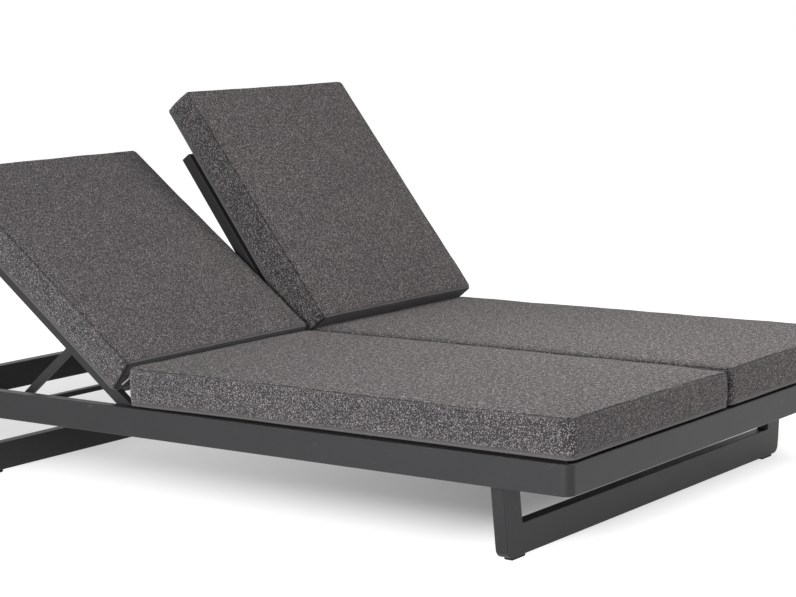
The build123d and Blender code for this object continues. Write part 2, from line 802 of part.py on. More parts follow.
def seat_cushions():
    front_y = -half_length + seat_cushion_front_inset
    rear_y = hinge_y - seat_cushion_to_hinge
    along = rear_y - front_y
    middle_y = (rear_y + front_y) / 2
    far = half_width - seat_cushion_side_inset
    across_x = far - cushion_middle_gap / 2
    for name, side in (("left", -1), ("right", 1)):
        middle_x = side * (far + cushion_middle_gap / 2) / 2
        pad = cushion(across_x, along, seat_cushion_height, seat_cushion_corner_radius,
                      seat_cushion_rear_radius)
        pad = Pos(middle_x, middle_y, cushion_floor_z) * pad
        save("seat_cushion_" + name, [pad])


def cushion_start(angle, clearance):
    """Distance from the hinge line to a back cushion's lower end, clear of the seat cushion's rear edge."""
    rise = math.radians(angle)
    behind = seat_cushion_to_hinge + seat_cushion_rear_radius
    above = cushion_floor_z + seat_cushion_height - seat_cushion_rear_radius - hinge_z
    reach = above * math.sin(rise) - behind * math.cos(rise) + seat_cushion_rear_radius
    return reach + clearance


def back_cushion(name, x, start, angle, lower_rise):
    """Back cushion between two X values, with its zip slider on the end face near its low X."""
    across_x = x[1] - x[0]
    middle_x = (x[0] + x[1]) / 2
    middle_y = hinge_y + start + back_cushion_length / 2
    pad = cushion(across_x, back_cushion_length, back_cushion_height, back_cushion_corner_radius,
                  back_cushion_end_radius, lower_rise)
    pad = Pos(middle_x, middle_y, cushion_floor_z) * pad
    save("back_cushion_" + name, turned_up([pad], angle))
    slider_y = hinge_y + start - zip_gap
    slider = Pos(x[0] + zip_side_inset, slider_y, cushion_floor_z + zip_rise) * Rot(90, 0, 0) * zip_slider()
    save("zip_slider_" + name, turned_up([slider], angle))


def main():
    os.makedirs("parts", exist_ok=True)
    main_rails()
    legs()
    seat_deck()
    hinge_hardware()
    racks()
    rest_pads()
    seat_cushions()
    left_angle = backrest_angle(left_notch_count)
    right_angle = backrest_angle(right_notch_count)
    for name, side, angle in (("left", -1, left_angle), ("right", 1, right_angle)):
        backrest(name, side, angle)
        prop(name, side, angle)
    left_x = (-half_width + left_cushion_side_inset, -left_cushion_middle_inset)
    right_x = (right_cushion_middle_inset, half_width - right_cushion_side_inset)
    left_start = cushion_start(left_angle, left_cushion_clearance)
    right_start = cushion_start(right_angle, right_cushion_clearance)
    back_cushion("left", left_x, left_start, left_angle, left_cushion_lower_rise)
    back_cushion("right", right_x, right_start, right_angle, right_cushion_lower_rise)
    print("backrest angles", round(left_angle, 3), round(right_angle, 3))
    print("prop slopes", round(prop_angle(left_angle), 3), round(prop_angle(right_angle), 3))


main()
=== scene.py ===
from dataclasses import dataclass
import json
import math

import bpy
import numpy as np
from mathutils import Matrix, Vector, noise
from mathutils.kdtree import KDTree


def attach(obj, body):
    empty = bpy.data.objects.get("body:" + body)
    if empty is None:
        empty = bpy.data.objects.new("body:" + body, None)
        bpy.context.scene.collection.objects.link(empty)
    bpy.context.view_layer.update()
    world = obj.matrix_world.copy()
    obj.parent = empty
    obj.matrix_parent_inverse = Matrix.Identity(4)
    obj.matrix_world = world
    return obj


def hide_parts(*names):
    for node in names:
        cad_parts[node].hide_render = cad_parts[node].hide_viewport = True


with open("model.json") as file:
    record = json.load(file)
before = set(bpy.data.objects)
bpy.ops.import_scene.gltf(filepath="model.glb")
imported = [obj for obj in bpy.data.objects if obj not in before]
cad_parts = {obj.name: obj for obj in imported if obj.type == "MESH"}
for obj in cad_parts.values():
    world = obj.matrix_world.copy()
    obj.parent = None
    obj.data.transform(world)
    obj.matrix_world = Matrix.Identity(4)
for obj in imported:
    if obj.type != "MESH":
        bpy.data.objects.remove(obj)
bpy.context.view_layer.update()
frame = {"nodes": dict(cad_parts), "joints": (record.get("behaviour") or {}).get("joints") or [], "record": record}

# A double sun lounger. The frame, legs, backrests and props are the CAD's own solids with new
# finishes. The four cushions and their welts are built here and replace the plain solids, and
# each back cushion gets the coil and pull tab of its zip. A cushion is made lying flat and then
# turned to the angle of its backrest.
# Everything is in metres. X runs across, Y from the foot end to the head end, Z up.

MM = 0.001

# Photograph
PHOTO_WIDTH_PX = 796
FOCAL_PX = 2159.8
CAMERA_PLACE = (-4.525, -3.288, 1.223)
CAMERA_YAW_DEG = -54.33
CAMERA_PITCH_DEG = 7.89
CAMERA_ROLL_DEG = -0.89
SENSOR_MM = 36.0

# Cushion form
CROWN = 6.75 * MM
CROWN_RISE_WIDTH = 60 * MM
SEAT_CORNER_RADIUS = 22 * MM
BACK_CORNER_RADIUS = 14 * MM
SEAM_RADIUS = 5 * MM
SEAT_REAR_RADIUS = 9 * MM
UNDER_RADIUS = 5 * MM
SEAT_INNER_RADIUS = 21 * MM
SIDE_BULGE = 2.5 * MM
DRAW_IN = 1 * MM
EDGE_DROOP = 4 * MM
EDGE_DROOP_REACH = 30 * MM
CORNER_DROOP = 5 * MM
CORNER_DROOP_REACH = 350 * MM
SAG = 3.5 * MM
SAG_STRIP = 8 * MM
SAG_REACH = 250 * MM
SAG_HEIGHT = 40 * MM
NEXT_GAP = 1.6 * MM
RIGHT_LOWER_RISE = 21 * MM
END_STRIP = 12 * MM

# Spacing of the cushions' points
GRID_STEP = 12 * MM
COARSE_STEP = 17 * MM
EDGE_LINES = tuple(x * MM for x in (0, 1.2, 2.6, 4.5, 7.5, 12, 18, 26))
COARSE_EDGE_LINES = tuple(x * MM for x in (0, 13, 26))

# Filling
FILL_FRAMES = 20
FILL_PRESSURE = 4.0
FILL_CAP = 4 * MM
SEAM_HOLD = 0.9
SEAM_HOLD_REACH = 8 * MM
BAND_HOLD = 0.25
HOLD_LEVELS = 10

# Seams, hem and lip
SEAM_DEPTH = 1.7 * MM
SEAM_WIDTH = 1.7 * MM
SEAM_FADE = (0.75, 0.6)
SEAM_FADE_LUMP = 150 * MM
SEAM_FADE_LEAST = 0.3
# Painted shade: the seam grooves are darkened across SHADE_WIDTH.
SHADE_WIDTH = 2.1 * MM
# Painted shade on the rounded edge of a seat cushion beside the next one.
GAP_SHADE = 0.7
GAP_SHADE_REACH = 20 * MM
HEM = 7.5 * MM
HEM_LINE = 0.35
LIP = 7.5 * MM
LIP_LINE = 0.9
PANEL_FADE = 4.5 * MM
RIDGE_HEIGHT = 0.7 * MM
RIDGE_PLACE = 5 * MM
RIDGE_WIDTH = 2.2 * MM
WAVE_HEIGHT = 1.6 * MM
WAVE_LUMP = 95 * MM
WAVE_REACH = 28 * MM
RIPPLE_HEIGHT = 0.5 * MM
RIPPLE_LUMP = 26 * MM
RIPPLE_START = 4 * MM
DIMPLE_HEIGHT = 0.8 * MM
DIMPLE_LUMP = 130 * MM
WELT_RADIUS = 1.5 * MM
WELT_SIDES = 8

# Zips
COIL_HALF_WIDTH = 1.7 * MM
COIL_HALF_DEPTH = 0.9 * MM
COIL_PITCH = 2.4 * MM
COIL_RINGS_PER_PITCH = 4
COIL_SWELL = 0.16
COIL_SIDES = 8
COIL_END_GAP = 12 * MM
TAB_THICKNESS = 0.8 * MM
TAB_EYE_RADIUS = 2.7 * MM
TAB_EYE_INSET = 4 * MM
TAB_GAP = 0.1 * MM
TAB_TIP_RADIUS = 4 * MM
TAB_HOLE_RADIUS = 1.3 * MM
TAB_SOFT_EDGE = 0.3 * MM
TAB_END_POINTS = 16
TAB_REACH = (-16 * MM, -21 * MM)

# Fabric
YARN_PITCH = 1.9 * MM
YARN_WANDER = 0.7
WEFT_NUMBER_SHIFT = 511.0
RUB_LUMP = 10 * MM
STITCH_PITCH = 4.2 * MM
STITCH_LENGTH_SHARE = 0.72
STITCH_WIDTH = 0.9 * MM
STITCH_DEPTH = 3.4 * MM
DARK_YARN = (0.01, 0.0095, 0.01, 1)
MIDDLE_YARN = (0.092, 0.087, 0.088, 1)
FLECK_YARN = (0.62, 0.577, 0.582, 1)
PLAIN_CLOTH = (0.15, 0.143, 0.143, 1)
# Near-black of the zip band: partly the band's dark cloth, partly painted shade of the gap where the back cushion
# meets the seat.
ZIP_BAND_WITH_PAINTED_SHADE = (0.018, 0.017, 0.017, 1)
STITCH_THREAD = (0.13, 0.125, 0.125, 1)
# Near-black painted into the seam grooves as their shade.
SEAM_PAINTED_SHADE = (0.006, 0.006, 0.006, 1)

# Relief of each finish
WEAVE_RELIEF = 0.8 * MM
COAT_RELIEF = 0.12 * MM
STEEL_RELIEF = 0.05 * MM

# Floor and sky. The lift is the white that the camera sees on the floor over its lit tone, and its shape is a
# painted shadow: low under the lounger, rising towards the head end, and high past the shade, over the floor's
# real shadow.
SKY_LEVEL = 0.15
FLOOR_HALF_SIZE = 60.0
FLOOR_TONE = 0.5
FLOOR_LIFT = 0.325
FLOOR_LIFT_SLOPE = 0.24
FLOOR_REAR_LIFT = 0.59
FLOOR_FAR_LIFT = 0.96
SHADE_MIDDLE = (0.29, 0.6)
SHADE_HALF_SIZE = (0.51, 1.1)
SHADE_FADE = (0.0, 0.46)

# Lamps
WARM = (1.0, 0.955, 0.93)
PLAIN = (0.985, 0.98, 1.0)
# Name, place, aim, size in metres, power in watts, spread in degrees, colour.
LAMPS = (
    ("rear_top", (0, 3.2, 3.2), (0, 0, 0.4), (3.5, 2.5), 12, 180, WARM),
    ("near_left", (-3.6, -0.9, 0.9), (-0.4, -0.5, 0.4), (2.2, 1.4), 80, 180, PLAIN),
    ("low_left", (-3.6, -1.7, 0.6), (-0.7, -0.5, 0.3), (1.8, 0.9), 7, 180, PLAIN),
    ("far_left", (-3.6, 2.0, 1.4), (-0.4, 0, 0.5), (2.2, 1.6), 11, 180, PLAIN),
    ("front_top", (1.3, -2.4, 3.4), (0, -0.4, 0.4), (2.5, 2.5), 99, 180, WARM),
    ("seat_front", (0, 1.5, 4.0), (0, -1.0, 0.36), (1.2, 1.2), 6.3, 36, WARM),
)

hinge = Vector(next(j["pos_m"] for j in frame["joints"] if j["name"] == "left_recline"))


# Shared mesh helpers

def new_object(name, mesh):
    obj = bpy.data.objects.new(name, mesh)
    bpy.context.scene.collection.objects.link(obj)
    return obj


def mesh_from(name, points, faces, smooth=True):
    mesh = bpy.data.meshes.new(name)
    mesh.from_pydata([tuple(p) for p in points], [], faces)
    mesh.update()
    if smooth:
        mesh.shade_smooth()
    else:
        mesh.shade_flat()
    return mesh


def positions(mesh):
    values = np.zeros(len(mesh.vertices) * 3)
    mesh.vertices.foreach_get("co", values)
    return values.reshape(-1, 3)


def set_positions(mesh, values):
    mesh.vertices.foreach_set("co", np.asarray(values, float).ravel())
    mesh.update()


def normals(mesh):
    values = np.zeros(len(mesh.vertices) * 3)
    mesh.vertex_normals.foreach_get("vector", values)
    return values.reshape(-1, 3)


def soft_noise(points, size, seed):
    """Smooth noise between about -1 and 1 at each point, with lumps of that size."""
    shift = Vector((seed * 7.31, seed * 3.17, seed * 5.71))
    return np.array([noise.noise(Vector(p) / size + shift) for p in points])


# Cushion form

def graded(half, step, edge_lines):
    """Grid positions from -half to half, close together near both edges."""
    offsets = np.array(edge_lines)
    inner = half - offsets[-1]
    count = max(2, round(2 * inner / step))
    middle = np.linspace(-inner, inner, count + 1)
    return np.concatenate([-half + offsets[:-1], middle, half - offsets[-2::-1]])


def side_levels(height, step, edge_lines):
    """Depths below the upper seam of the rows round a cushion's sides."""
    upper = [d for d in edge_lines if d < height / 3]
    lower = [height - d for d in edge_lines[::-1] if d < height / 4]
    gap = lower[0] - upper[-1]
    count = max(1, round(gap / step))
    middle = [upper[-1] + gap * k / count for k in range(1, count)]
    return upper + middle + lower


def round_corner(x, y, half_x, half_y, radius):
    """Moves points of a square grid so that its outline gets round corners."""
    a = np.clip((np.abs(x) - (half_x - radius)) / radius, 0, 1)
    b = np.clip((np.abs(y) - (half_y - radius)) / radius, 0, 1)
    both = (a > 0) & (b > 0)
    u = np.where(both, a * np.sqrt(1 - b * b / 2), a)
    v = np.where(both, b * np.sqrt(1 - a * a / 2), b)
    new_x = np.where(a > 0, np.sign(x) * (half_x - radius + radius * u), x)
    new_y = np.where(b > 0, np.sign(y) * (half_y - radius + radius * v), y)
    return new_x, new_y


def rounded(gap, radius, on_panel):
    """How far an edge of that radius moves points inward and down, by their distance from its seam."""
    share = np.clip(gap / radius, 0, 1)
    angle = math.pi / 4 * np.where(on_panel, 1 + share, 1 - share)
    inset = np.where(on_panel & (share >= 1), gap, radius * (1 - np.cos(angle)))
    drop = np.where(on_panel | (share < 1), radius * (1 - np.sin(angle)), gap)
    return share, inset, drop


def boxed_faces(nx, ny, level_count):
    """Rows of points round the side band, and all faces: upper panel, under panel, side band."""
    rim = [(i, 0) for i in range(nx)] + [(nx - 1, j) for j in range(1, ny)]
    rim += [(i, ny - 1) for i in range(nx - 2, -1, -1)] + [(0, j) for j in range(ny - 2, 0, -1)]
    rim = [i * ny + j for i, j in rim]
    count = nx * ny
    under_start = count + (level_count - 2) * len(rim)
    starts = range(count, under_start, len(rim))
    rows = [rim] + [list(range(start, start + len(rim))) for start in starts]
    rows.append([under_start + v for v in rim])
    upper = [(i * ny + j, (i + 1) * ny + j, (i + 1) * ny + j + 1, i * ny + j + 1)
             for i in range(nx - 1) for j in range(ny - 1)]
    under = [tuple(under_start + v for v in face[::-1]) for face in upper]
    side = []
    for low, high in zip(rows[1:], rows[:-1]):
        for n in range(len(rim)):
            m = (n + 1) % len(rim)
            side.append((high[n], low[n], low[m], high[m]))
    return rows, upper + under + side, len(upper) + len(under)


@dataclass
class Cushion:
    """Settings of one cushion. rear_sign is 1 where the end at the hinge has the high Y."""
    node: str
    body: str
    angle: float
    seed: int
    rear_sign: int
    inner_sign: int
    corner_radius: float
    rear_radius: float = SEAM_RADIUS
    inner_radius: float = SEAM_RADIUS
    lower_rise: float = 0.0
    edge_droop: float = 0.0
    corner_droop: float = 0.0

    @property
    def is_seat(self):
        return self.rear_sign > 0


class Shell:
    """Grid of a boxed cushion: an upper panel, a side band and an under panel."""

    def __init__(self, width, length, height, corner_radius, step, edge_lines):
        self.corner_radius = corner_radius
        self.half_x = width / 2
        self.half_y = length / 2
        self.height = height
        xs = graded(self.half_x, step, edge_lines)
        ys = graded(self.half_y, step, edge_lines)
        self.levels = side_levels(height, step, edge_lines)
        self.rows, self.faces, self.side_start = boxed_faces(len(xs), len(ys), len(self.levels))
        rim = self.rows[0]
        grid_x, grid_y = np.meshgrid(xs, ys, indexing="ij")
        plan = np.stack(round_corner(grid_x.ravel(), grid_y.ravel(), self.half_x, self.half_y,
                                     corner_radius), 1)
        band_rows = len(self.levels) - 2
        self.plan = np.concatenate([plan] + [plan[rim]] * band_rows + [plan])
        self.depth = np.concatenate([np.zeros(len(plan)), np.repeat(self.levels[1:-1], len(rim)),
                                     np.full(len(plan), height)])
        self.panel = np.repeat([0, 1, 2], [len(plan), band_rows * len(rim), len(plan)])
        step_lengths = np.linalg.norm(np.diff(plan[rim + rim[:1]], axis=0), axis=1)
        self.run = np.concatenate([[0], np.cumsum(step_lengths)])
        self.end_count = len(xs)
        self.rim_number = np.full(len(self.depth), -1)
        for row in self.rows[1:-1]:
            self.rim_number[row] = np.arange(len(rim))
        self.inside = self.edge_distance()
        self.seam_distance = np.where(self.panel == 0, self.inside,
                                      np.where(self.panel == 1, self.depth, height + self.inside))

    def edge_distance(self):
        """Distance from each point in plan to the outline."""
        q = np.abs(self.plan) - np.array([self.half_x, self.half_y]) + self.corner_radius
        outside = np.linalg.norm(np.maximum(q, 0), axis=1)
        return np.maximum(self.corner_radius - outside - np.minimum(q.max(1), 0), 0)

    def outward(self):
        """Unit direction in plan from each point to the nearest place on the outline."""
        q = np.abs(self.plan) - np.array([self.half_x, self.half_y]) + self.corner_radius
        corner = (q > 0).all(1)
        flat = np.where((q[:, :1] > q[:, 1:]), [[1.0, 0.0]], [[0.0, 1.0]])
        length = np.maximum(np.linalg.norm(q, axis=1), 1e-9)[:, None]
        return np.where(corner[:, None], q / length, flat) * np.sign(self.plan + 1e-12)

    def form(self, cushion):
        """Places of the points for a firm foam block in its cover, with z from 0 at the underside."""
        out = self.outward()
        rear = np.clip(cushion.rear_sign * out[:, 1], 0, 1) ** 2
        inner = np.clip(cushion.inner_sign * out[:, 0], 0, 1) ** 2
        radius = SEAM_RADIUS + (cushion.rear_radius - SEAM_RADIUS) * rear
        radius = radius + (cushion.inner_radius - SEAM_RADIUS) * inner
        upper = self.panel == 0
        side = self.panel == 1
        under = self.panel == 2
        _, inset, drop = rounded(np.where(upper, self.inside, self.depth), radius, upper)
        low_gap = np.where(under, self.inside, self.height - self.depth)
        low_share, low_inset, lift = rounded(low_gap, UNDER_RADIUS, under)
        near_bottom = under | (side & (low_share < 1))
        inset = np.where(near_bottom, low_inset, inset)
        z = np.where(near_bottom, lift, self.height - drop)
        crown = CROWN * (1 - np.exp(-self.inside / CROWN_RISE_WIDTH))
        z = z + np.where(upper, crown, 0)
        share_down = self.depth / self.height
        bulge = 4 * SIDE_BULGE * share_down * (1 - share_down)
        moved = self.plan + out * (np.where(side, bulge, self.inside) - inset)[:, None]
        across = 1 - np.clip(np.abs(moved[:, 1]) / (self.half_y - self.corner_radius), 0, 1) ** 2
        along = 1 - np.clip(np.abs(moved[:, 0]) / (self.half_x - self.corner_radius), 0, 1) ** 2
        x = moved[:, 0] - DRAW_IN * across * np.sign(moved[:, 0]) * (moved[:, 0] / self.half_x) ** 2
        y = moved[:, 1] - DRAW_IN * along * np.sign(moved[:, 1]) * (moved[:, 1] / self.half_y) ** 2
        z = z + cushion.lower_rise * (0.5 - y / (2 * self.half_y)) * np.clip(z / self.height, 0, 1)
        return np.stack([x, y, z], 1)

    def corner_gap(self):
        """Distance along the side band to the nearer corner of the low-Y end."""
        run = self.run[np.maximum(self.rim_number, 0)]
        first = np.minimum(run, self.run[-1] - run)
        second = np.abs(run - self.run[self.end_count - 1])
        return np.where(self.panel == 1, np.minimum(first, second), 1)

    def stitched(self, cushion, fade, width):
        """How deep each point lies in a seam of that width, from 0 to 1."""
        def line(gap):
            return np.exp(-(gap / width) ** 2)
        hem_gap = np.where(self.panel == 1, np.abs(self.height - HEM - self.depth), 1)
        lines = [line(self.seam_distance) * fade, HEM_LINE * line(hem_gap)]
        if not cushion.is_seat:
            lip_gap = np.where(self.panel == 0, np.abs(self.plan[:, 1] + self.half_y - LIP), 1)
            lines += [LIP_LINE * line(lip_gap), line(self.corner_gap())]
        return np.max(lines, 0)

    def gap_shade(self, cushion):
        """Painted shade on the broad rounded edge beside the next cushion, darkest at its seam."""
        inner = np.clip(cushion.inner_sign * self.outward()[:, 0], 0, 1) ** 2
        inner = inner * (self.panel < 2) * (cushion.inner_radius > SEAM_RADIUS)
        depth_in = np.where(self.panel == 0, self.inside, 0)
        return GAP_SHADE * inner * np.exp(-depth_in / GAP_SHADE_REACH)

    def plain(self, cushion):
        """1 on the smooth cloth of the hem, the underside and the lip over the zip, 0 on the weave."""
        hem = np.where(self.panel == 1, self.depth - self.height + HEM + PANEL_FADE, 0)
        smooth = np.maximum(hem / PANEL_FADE, self.panel == 2)
        if not cushion.is_seat:
            lip = np.where(self.panel == 0, LIP + PANEL_FADE - self.plan[:, 1] - self.half_y, 0)
            smooth = np.maximum(smooth, np.maximum(lip / PANEL_FADE, self.lining(cushion)))
        return np.clip(smooth, 0, 1)

    def lining(self, cushion):
        """1 on the band that holds the zip, at the low-Y end of a back cushion, whose near-black is partly its
        dark cloth and partly painted shade of the gap at the backrest's foot.
        """
        in_end = (self.rim_number >= 0) & (self.rim_number < self.end_count)
        return np.where(in_end, 1.0, 0.0) * (not cushion.is_seat)

    def weave_map(self):
        """Cloth coordinates in metres for each face corner, so that the weave runs true on each panel."""
        values = []
        for number, face in enumerate(self.faces):
            if number < self.side_start:
                values += [tuple(self.plan[v]) for v in face]
                continue
            n = (number - self.side_start) % len(self.rows[0])
            start, end = self.run[n], self.run[n + 1]
            heights = [self.depth[v] for v in face]
            values += list(zip((start, start, end, end), heights))
        return values


def filled(name, shell, places, give):
    """How the cover moves when its foam swells: a cloth simulation of a coarse copy."""
    mesh = mesh_from(name, places, shell.faces)
    obj = new_object(name, mesh)
    held = obj.vertex_groups.new(name="held")
    hold = np.where(shell.panel == 0, np.exp(-shell.inside / SEAM_HOLD_REACH) * SEAM_HOLD,
                    np.where(shell.panel == 1, BAND_HOLD, 1.0))
    hold[shell.rows[0]] = SEAM_HOLD
    hold[shell.rows[-1]] = 1.0
    for level in range(1, HOLD_LEVELS + 1):
        members = np.nonzero(np.round(hold * HOLD_LEVELS) == level)[0].tolist()
        held.add(members, level / HOLD_LEVELS, "REPLACE")
    cloth = obj.modifiers.new("filling", "CLOTH")
    settings = cloth.settings
    settings.quality = 5
    settings.mass = 0.3
    settings.tension_stiffness = 20
    settings.compression_stiffness = 20
    settings.shear_stiffness = 10
    settings.bending_stiffness = 2
    settings.vertex_group_mass = held.name
    settings.pin_stiffness = 2
    settings.use_pressure = True
    settings.uniform_pressure_force = FILL_PRESSURE
    settings.effector_weights.gravity = 0
    cloth.point_cache.frame_start = 1
    cloth.point_cache.frame_end = FILL_FRAMES
    scene = bpy.context.scene
    for number in range(1, FILL_FRAMES + 1):
        scene.frame_set(number)
    evaluated = obj.evaluated_get(bpy.context.evaluated_depsgraph_get())
    moved = positions(evaluated.to_mesh()) - places
    evaluated.to_mesh_clear()
    scene.frame_set(1)
    bpy.data.objects.remove(obj)
    bpy.data.meshes.remove(mesh)
    length = np.linalg.norm(moved, axis=1)
    largest = np.quantile(length, 0.98)
    scale = give / max(largest, 1e-6)
    return moved * scale * np.minimum(1, give / np.maximum(length * scale, 1e-9))[:, None]


def carried(moved, coarse_places, places):
    """The coarse copy's movement at each point of the fine mesh, from the nearest coarse points."""
    tree = KDTree(len(coarse_places))
    for index, place in enumerate(coarse_places):
        tree.insert(Vector(place), index)
    tree.balance()
    result = np.zeros_like(places)
    for n, place in enumerate(places):
        near = tree.find_n(Vector(place), 4)
        weights = np.array([1 / (distance + 2 * MM) ** 2 for _, _, distance in near])
        result[n] = (moved[[index for _, index, _ in near]] * weights[:, None]).sum(0) / weights.sum()
    return result


def cushion_mesh(cushion, low, high, height):
    """Mesh of one cushion in the flat position, between two corners of its solid."""
    width, length = high.x - low.x, high.y - low.y
    shell = Shell(width, length, height, cushion.corner_radius, GRID_STEP, EDGE_LINES)
    places = shell.form(cushion)
    coarse = Shell(width, length, height, cushion.corner_radius, COARSE_STEP, COARSE_EDGE_LINES)
    coarse_places = coarse.form(cushion)
    moved = filled(cushion.node + "_coarse", coarse, coarse_places, FILL_CAP)
    places = places + carried(moved, coarse_places, places)
    settle(places, shell, cushion)
    mesh = mesh_from(cushion.node + "_cover", places, shell.faces)
    fade = SEAM_FADE[0] + SEAM_FADE[1] * soft_noise(places, SEAM_FADE_LUMP, cushion.seed + 4)
    fade = np.clip(fade, SEAM_FADE_LEAST, 1)
    add_seams(mesh, shell, cushion.seed, shell.stitched(cushion, fade, SEAM_WIDTH))
    keep_clear(mesh, shell, cushion)
    weave = mesh.uv_layers.new(name="weave")
    weave.data.foreach_set("uv", np.array(shell.weave_map()).ravel())
    # Painted shade of the seam grooves and of the rounded edge beside the next cushion.
    shade = np.maximum(shell.stitched(cushion, fade, SHADE_WIDTH), shell.gap_shade(cushion))
    keep_values(mesh, "seam_shade", shade)
    keep_values(mesh, "rub", np.where(shell.panel == 0, 1.0, 0.0) * cushion.is_seat)
    keep_values(mesh, "plain", shell.plain(cushion))
    keep_values(mesh, "lining", shell.lining(cushion))
    keep_values(mesh, "band", np.where(shell.panel == 1, 1.0, 0.0))
    mesh.transform(Matrix.Translation(((low.x + high.x) / 2, (low.y + high.y) / 2, low.z)))
    return mesh, shell


def keep_values(mesh, name, values):
    """Stores one number for each point of a mesh under a name that its material reads."""
    attribute = mesh.attributes.new(name, "FLOAT", "POINT")
    attribute.data.foreach_set("value", np.broadcast_to(values, len(mesh.vertices)).astype(np.float32))


def settle(places, shell, cushion):
    """Sinks the upper edge beside the next cushion, most of all at its front corner."""
    toward_next = places[:, 0] * cushion.inner_sign
    height_share = np.clip(places[:, 2] / shell.height, 0, 1)
    edge = np.exp(-(shell.half_x - toward_next) / EDGE_DROOP_REACH)
    across = np.clip(0.5 + toward_next / (2 * shell.half_x), 0, 1) ** 2
    corner = across * np.exp(-(places[:, 1] + shell.half_y) / CORNER_DROOP_REACH)
    places[:, 2] -= height_share * (cushion.edge_droop * edge + cushion.corner_droop * corner)


def add_seams(mesh, shell, seed, stitched):
    """Sunk seam line with a soft ridge at each side, slight waves and dimples."""
    places = positions(mesh)
    out = normals(mesh)
    gap = shell.seam_distance
    near = np.exp(-(gap / WAVE_REACH) ** 2)
    wave = soft_noise(places, WAVE_LUMP, seed)
    ripple = soft_noise(places, RIPPLE_LUMP, seed + 1)
    dimple = soft_noise(places, DIMPLE_LUMP, seed + 2)
    lift = -SEAM_DEPTH * stitched
    lift += RIDGE_HEIGHT * np.exp(-((gap - RIDGE_PLACE) / RIDGE_WIDTH) ** 2)
    lift += RIPPLE_HEIGHT * ripple * near * (1 - np.exp(-(gap / RIPPLE_START) ** 2))
    lift += np.where(shell.panel == 2, 0, DIMPLE_HEIGHT * dimple * (1 - near))
    places += out * lift[:, None]
    places[:, 2] += WAVE_HEIGHT * wave * near * (shell.panel != 2)
    set_positions(mesh, places)


def keep_clear(mesh, shell, cushion):
    """Holds the cover clear of the next cushion and its support, and lets its rear outer edge sag."""
    places = positions(mesh)
    places[:, 2] = np.maximum(places[:, 2], 0)
    rear = cushion.rear_sign * shell.half_y
    hold = np.minimum if cushion.is_seat else np.maximum
    places[:, 1] = hold(places[:, 1], rear)
    if cushion.is_seat:
        toward_next = np.minimum(places[:, 0] * cushion.inner_sign, shell.half_x + NEXT_GAP)
        places[:, 0] = toward_next * cushion.inner_sign
        past_slats = np.clip((-toward_next - shell.half_x + SAG_STRIP) / (SAG_STRIP / 2), 0, 1)
        near_rear = np.exp(-(shell.half_y - places[:, 1]) / SAG_REACH)
        low_down = np.clip(1 - places[:, 2] / SAG_HEIGHT, 0, 1)
        places[:, 2] -= SAG * past_slats * near_rear * low_down
    set_positions(mesh, places)


def tube_mesh(name, path, radius, sides):
    """Closed tube round a closed path, with cloth coordinates along it."""
    path = [Vector(p) for p in path]
    count = len(path)
    points, faces, cloth = [], [], []
    run = 0.0
    runs = [0.0]
    for n in range(count):
        before, here, after = path[n - 1], path[n], path[(n + 1) % count]
        run += (after - here).length
        runs.append(run)
        along = (after - before).normalized()
        up = Vector((0, 0, 1))
        aside = along.cross(up).normalized()
        up = aside.cross(along)
        for k in range(sides):
            turn = 2 * math.pi * k / sides
            points.append(here + (aside * math.cos(turn) + up * math.sin(turn)) * radius)
    for n in range(count):
        m = (n + 1) % count
        for k in range(sides):
            j = (k + 1) % sides
            faces.append((n * sides + k, n * sides + j, m * sides + j, m * sides + k))
            around = 2 * math.pi * radius / sides
            cloth += [(runs[n], k * around), (runs[n], (k + 1) * around),
                      (runs[n + 1], (k + 1) * around), (runs[n + 1], k * around)]
    mesh = mesh_from(name, points, faces)
    weave = mesh.uv_layers.new(name="weave")
    weave.data.foreach_set("uv", np.array(cloth).ravel())
    keep_values(mesh, "plain", 1.0)
    return mesh


def coil_mesh(name, start, end):
    """Ribbed coil of a closed zip, straight from one point to the other along X."""
    count = round((end.x - start.x) / COIL_PITCH * COIL_RINGS_PER_PITCH)
    sides = COIL_SIDES
    turns = 2 * math.pi * np.arange(sides) / sides
    along = np.arange(count + 1)
    swell = 1 + COIL_SWELL * np.cos(along * 2 * math.pi / COIL_RINGS_PER_PITCH)
    x = np.repeat(start.x + (end.x - start.x) * along / count, sides)
    y = start.y + COIL_HALF_DEPTH * np.outer(swell, np.cos(turns)).ravel()
    z = start.z + COIL_HALF_WIDTH * np.outer(swell, np.sin(turns)).ravel()
    faces = [(n * sides + k, (n + 1) * sides + k, (n + 1) * sides + (k + 1) % sides,
              n * sides + (k + 1) % sides) for n in range(count) for k in range(sides)]
    faces.append(tuple(range(sides)))
    faces.append(tuple(count * sides + k for k in range(sides - 1, -1, -1)))
    return mesh_from(name, np.stack([x, y, z], 1), faces)


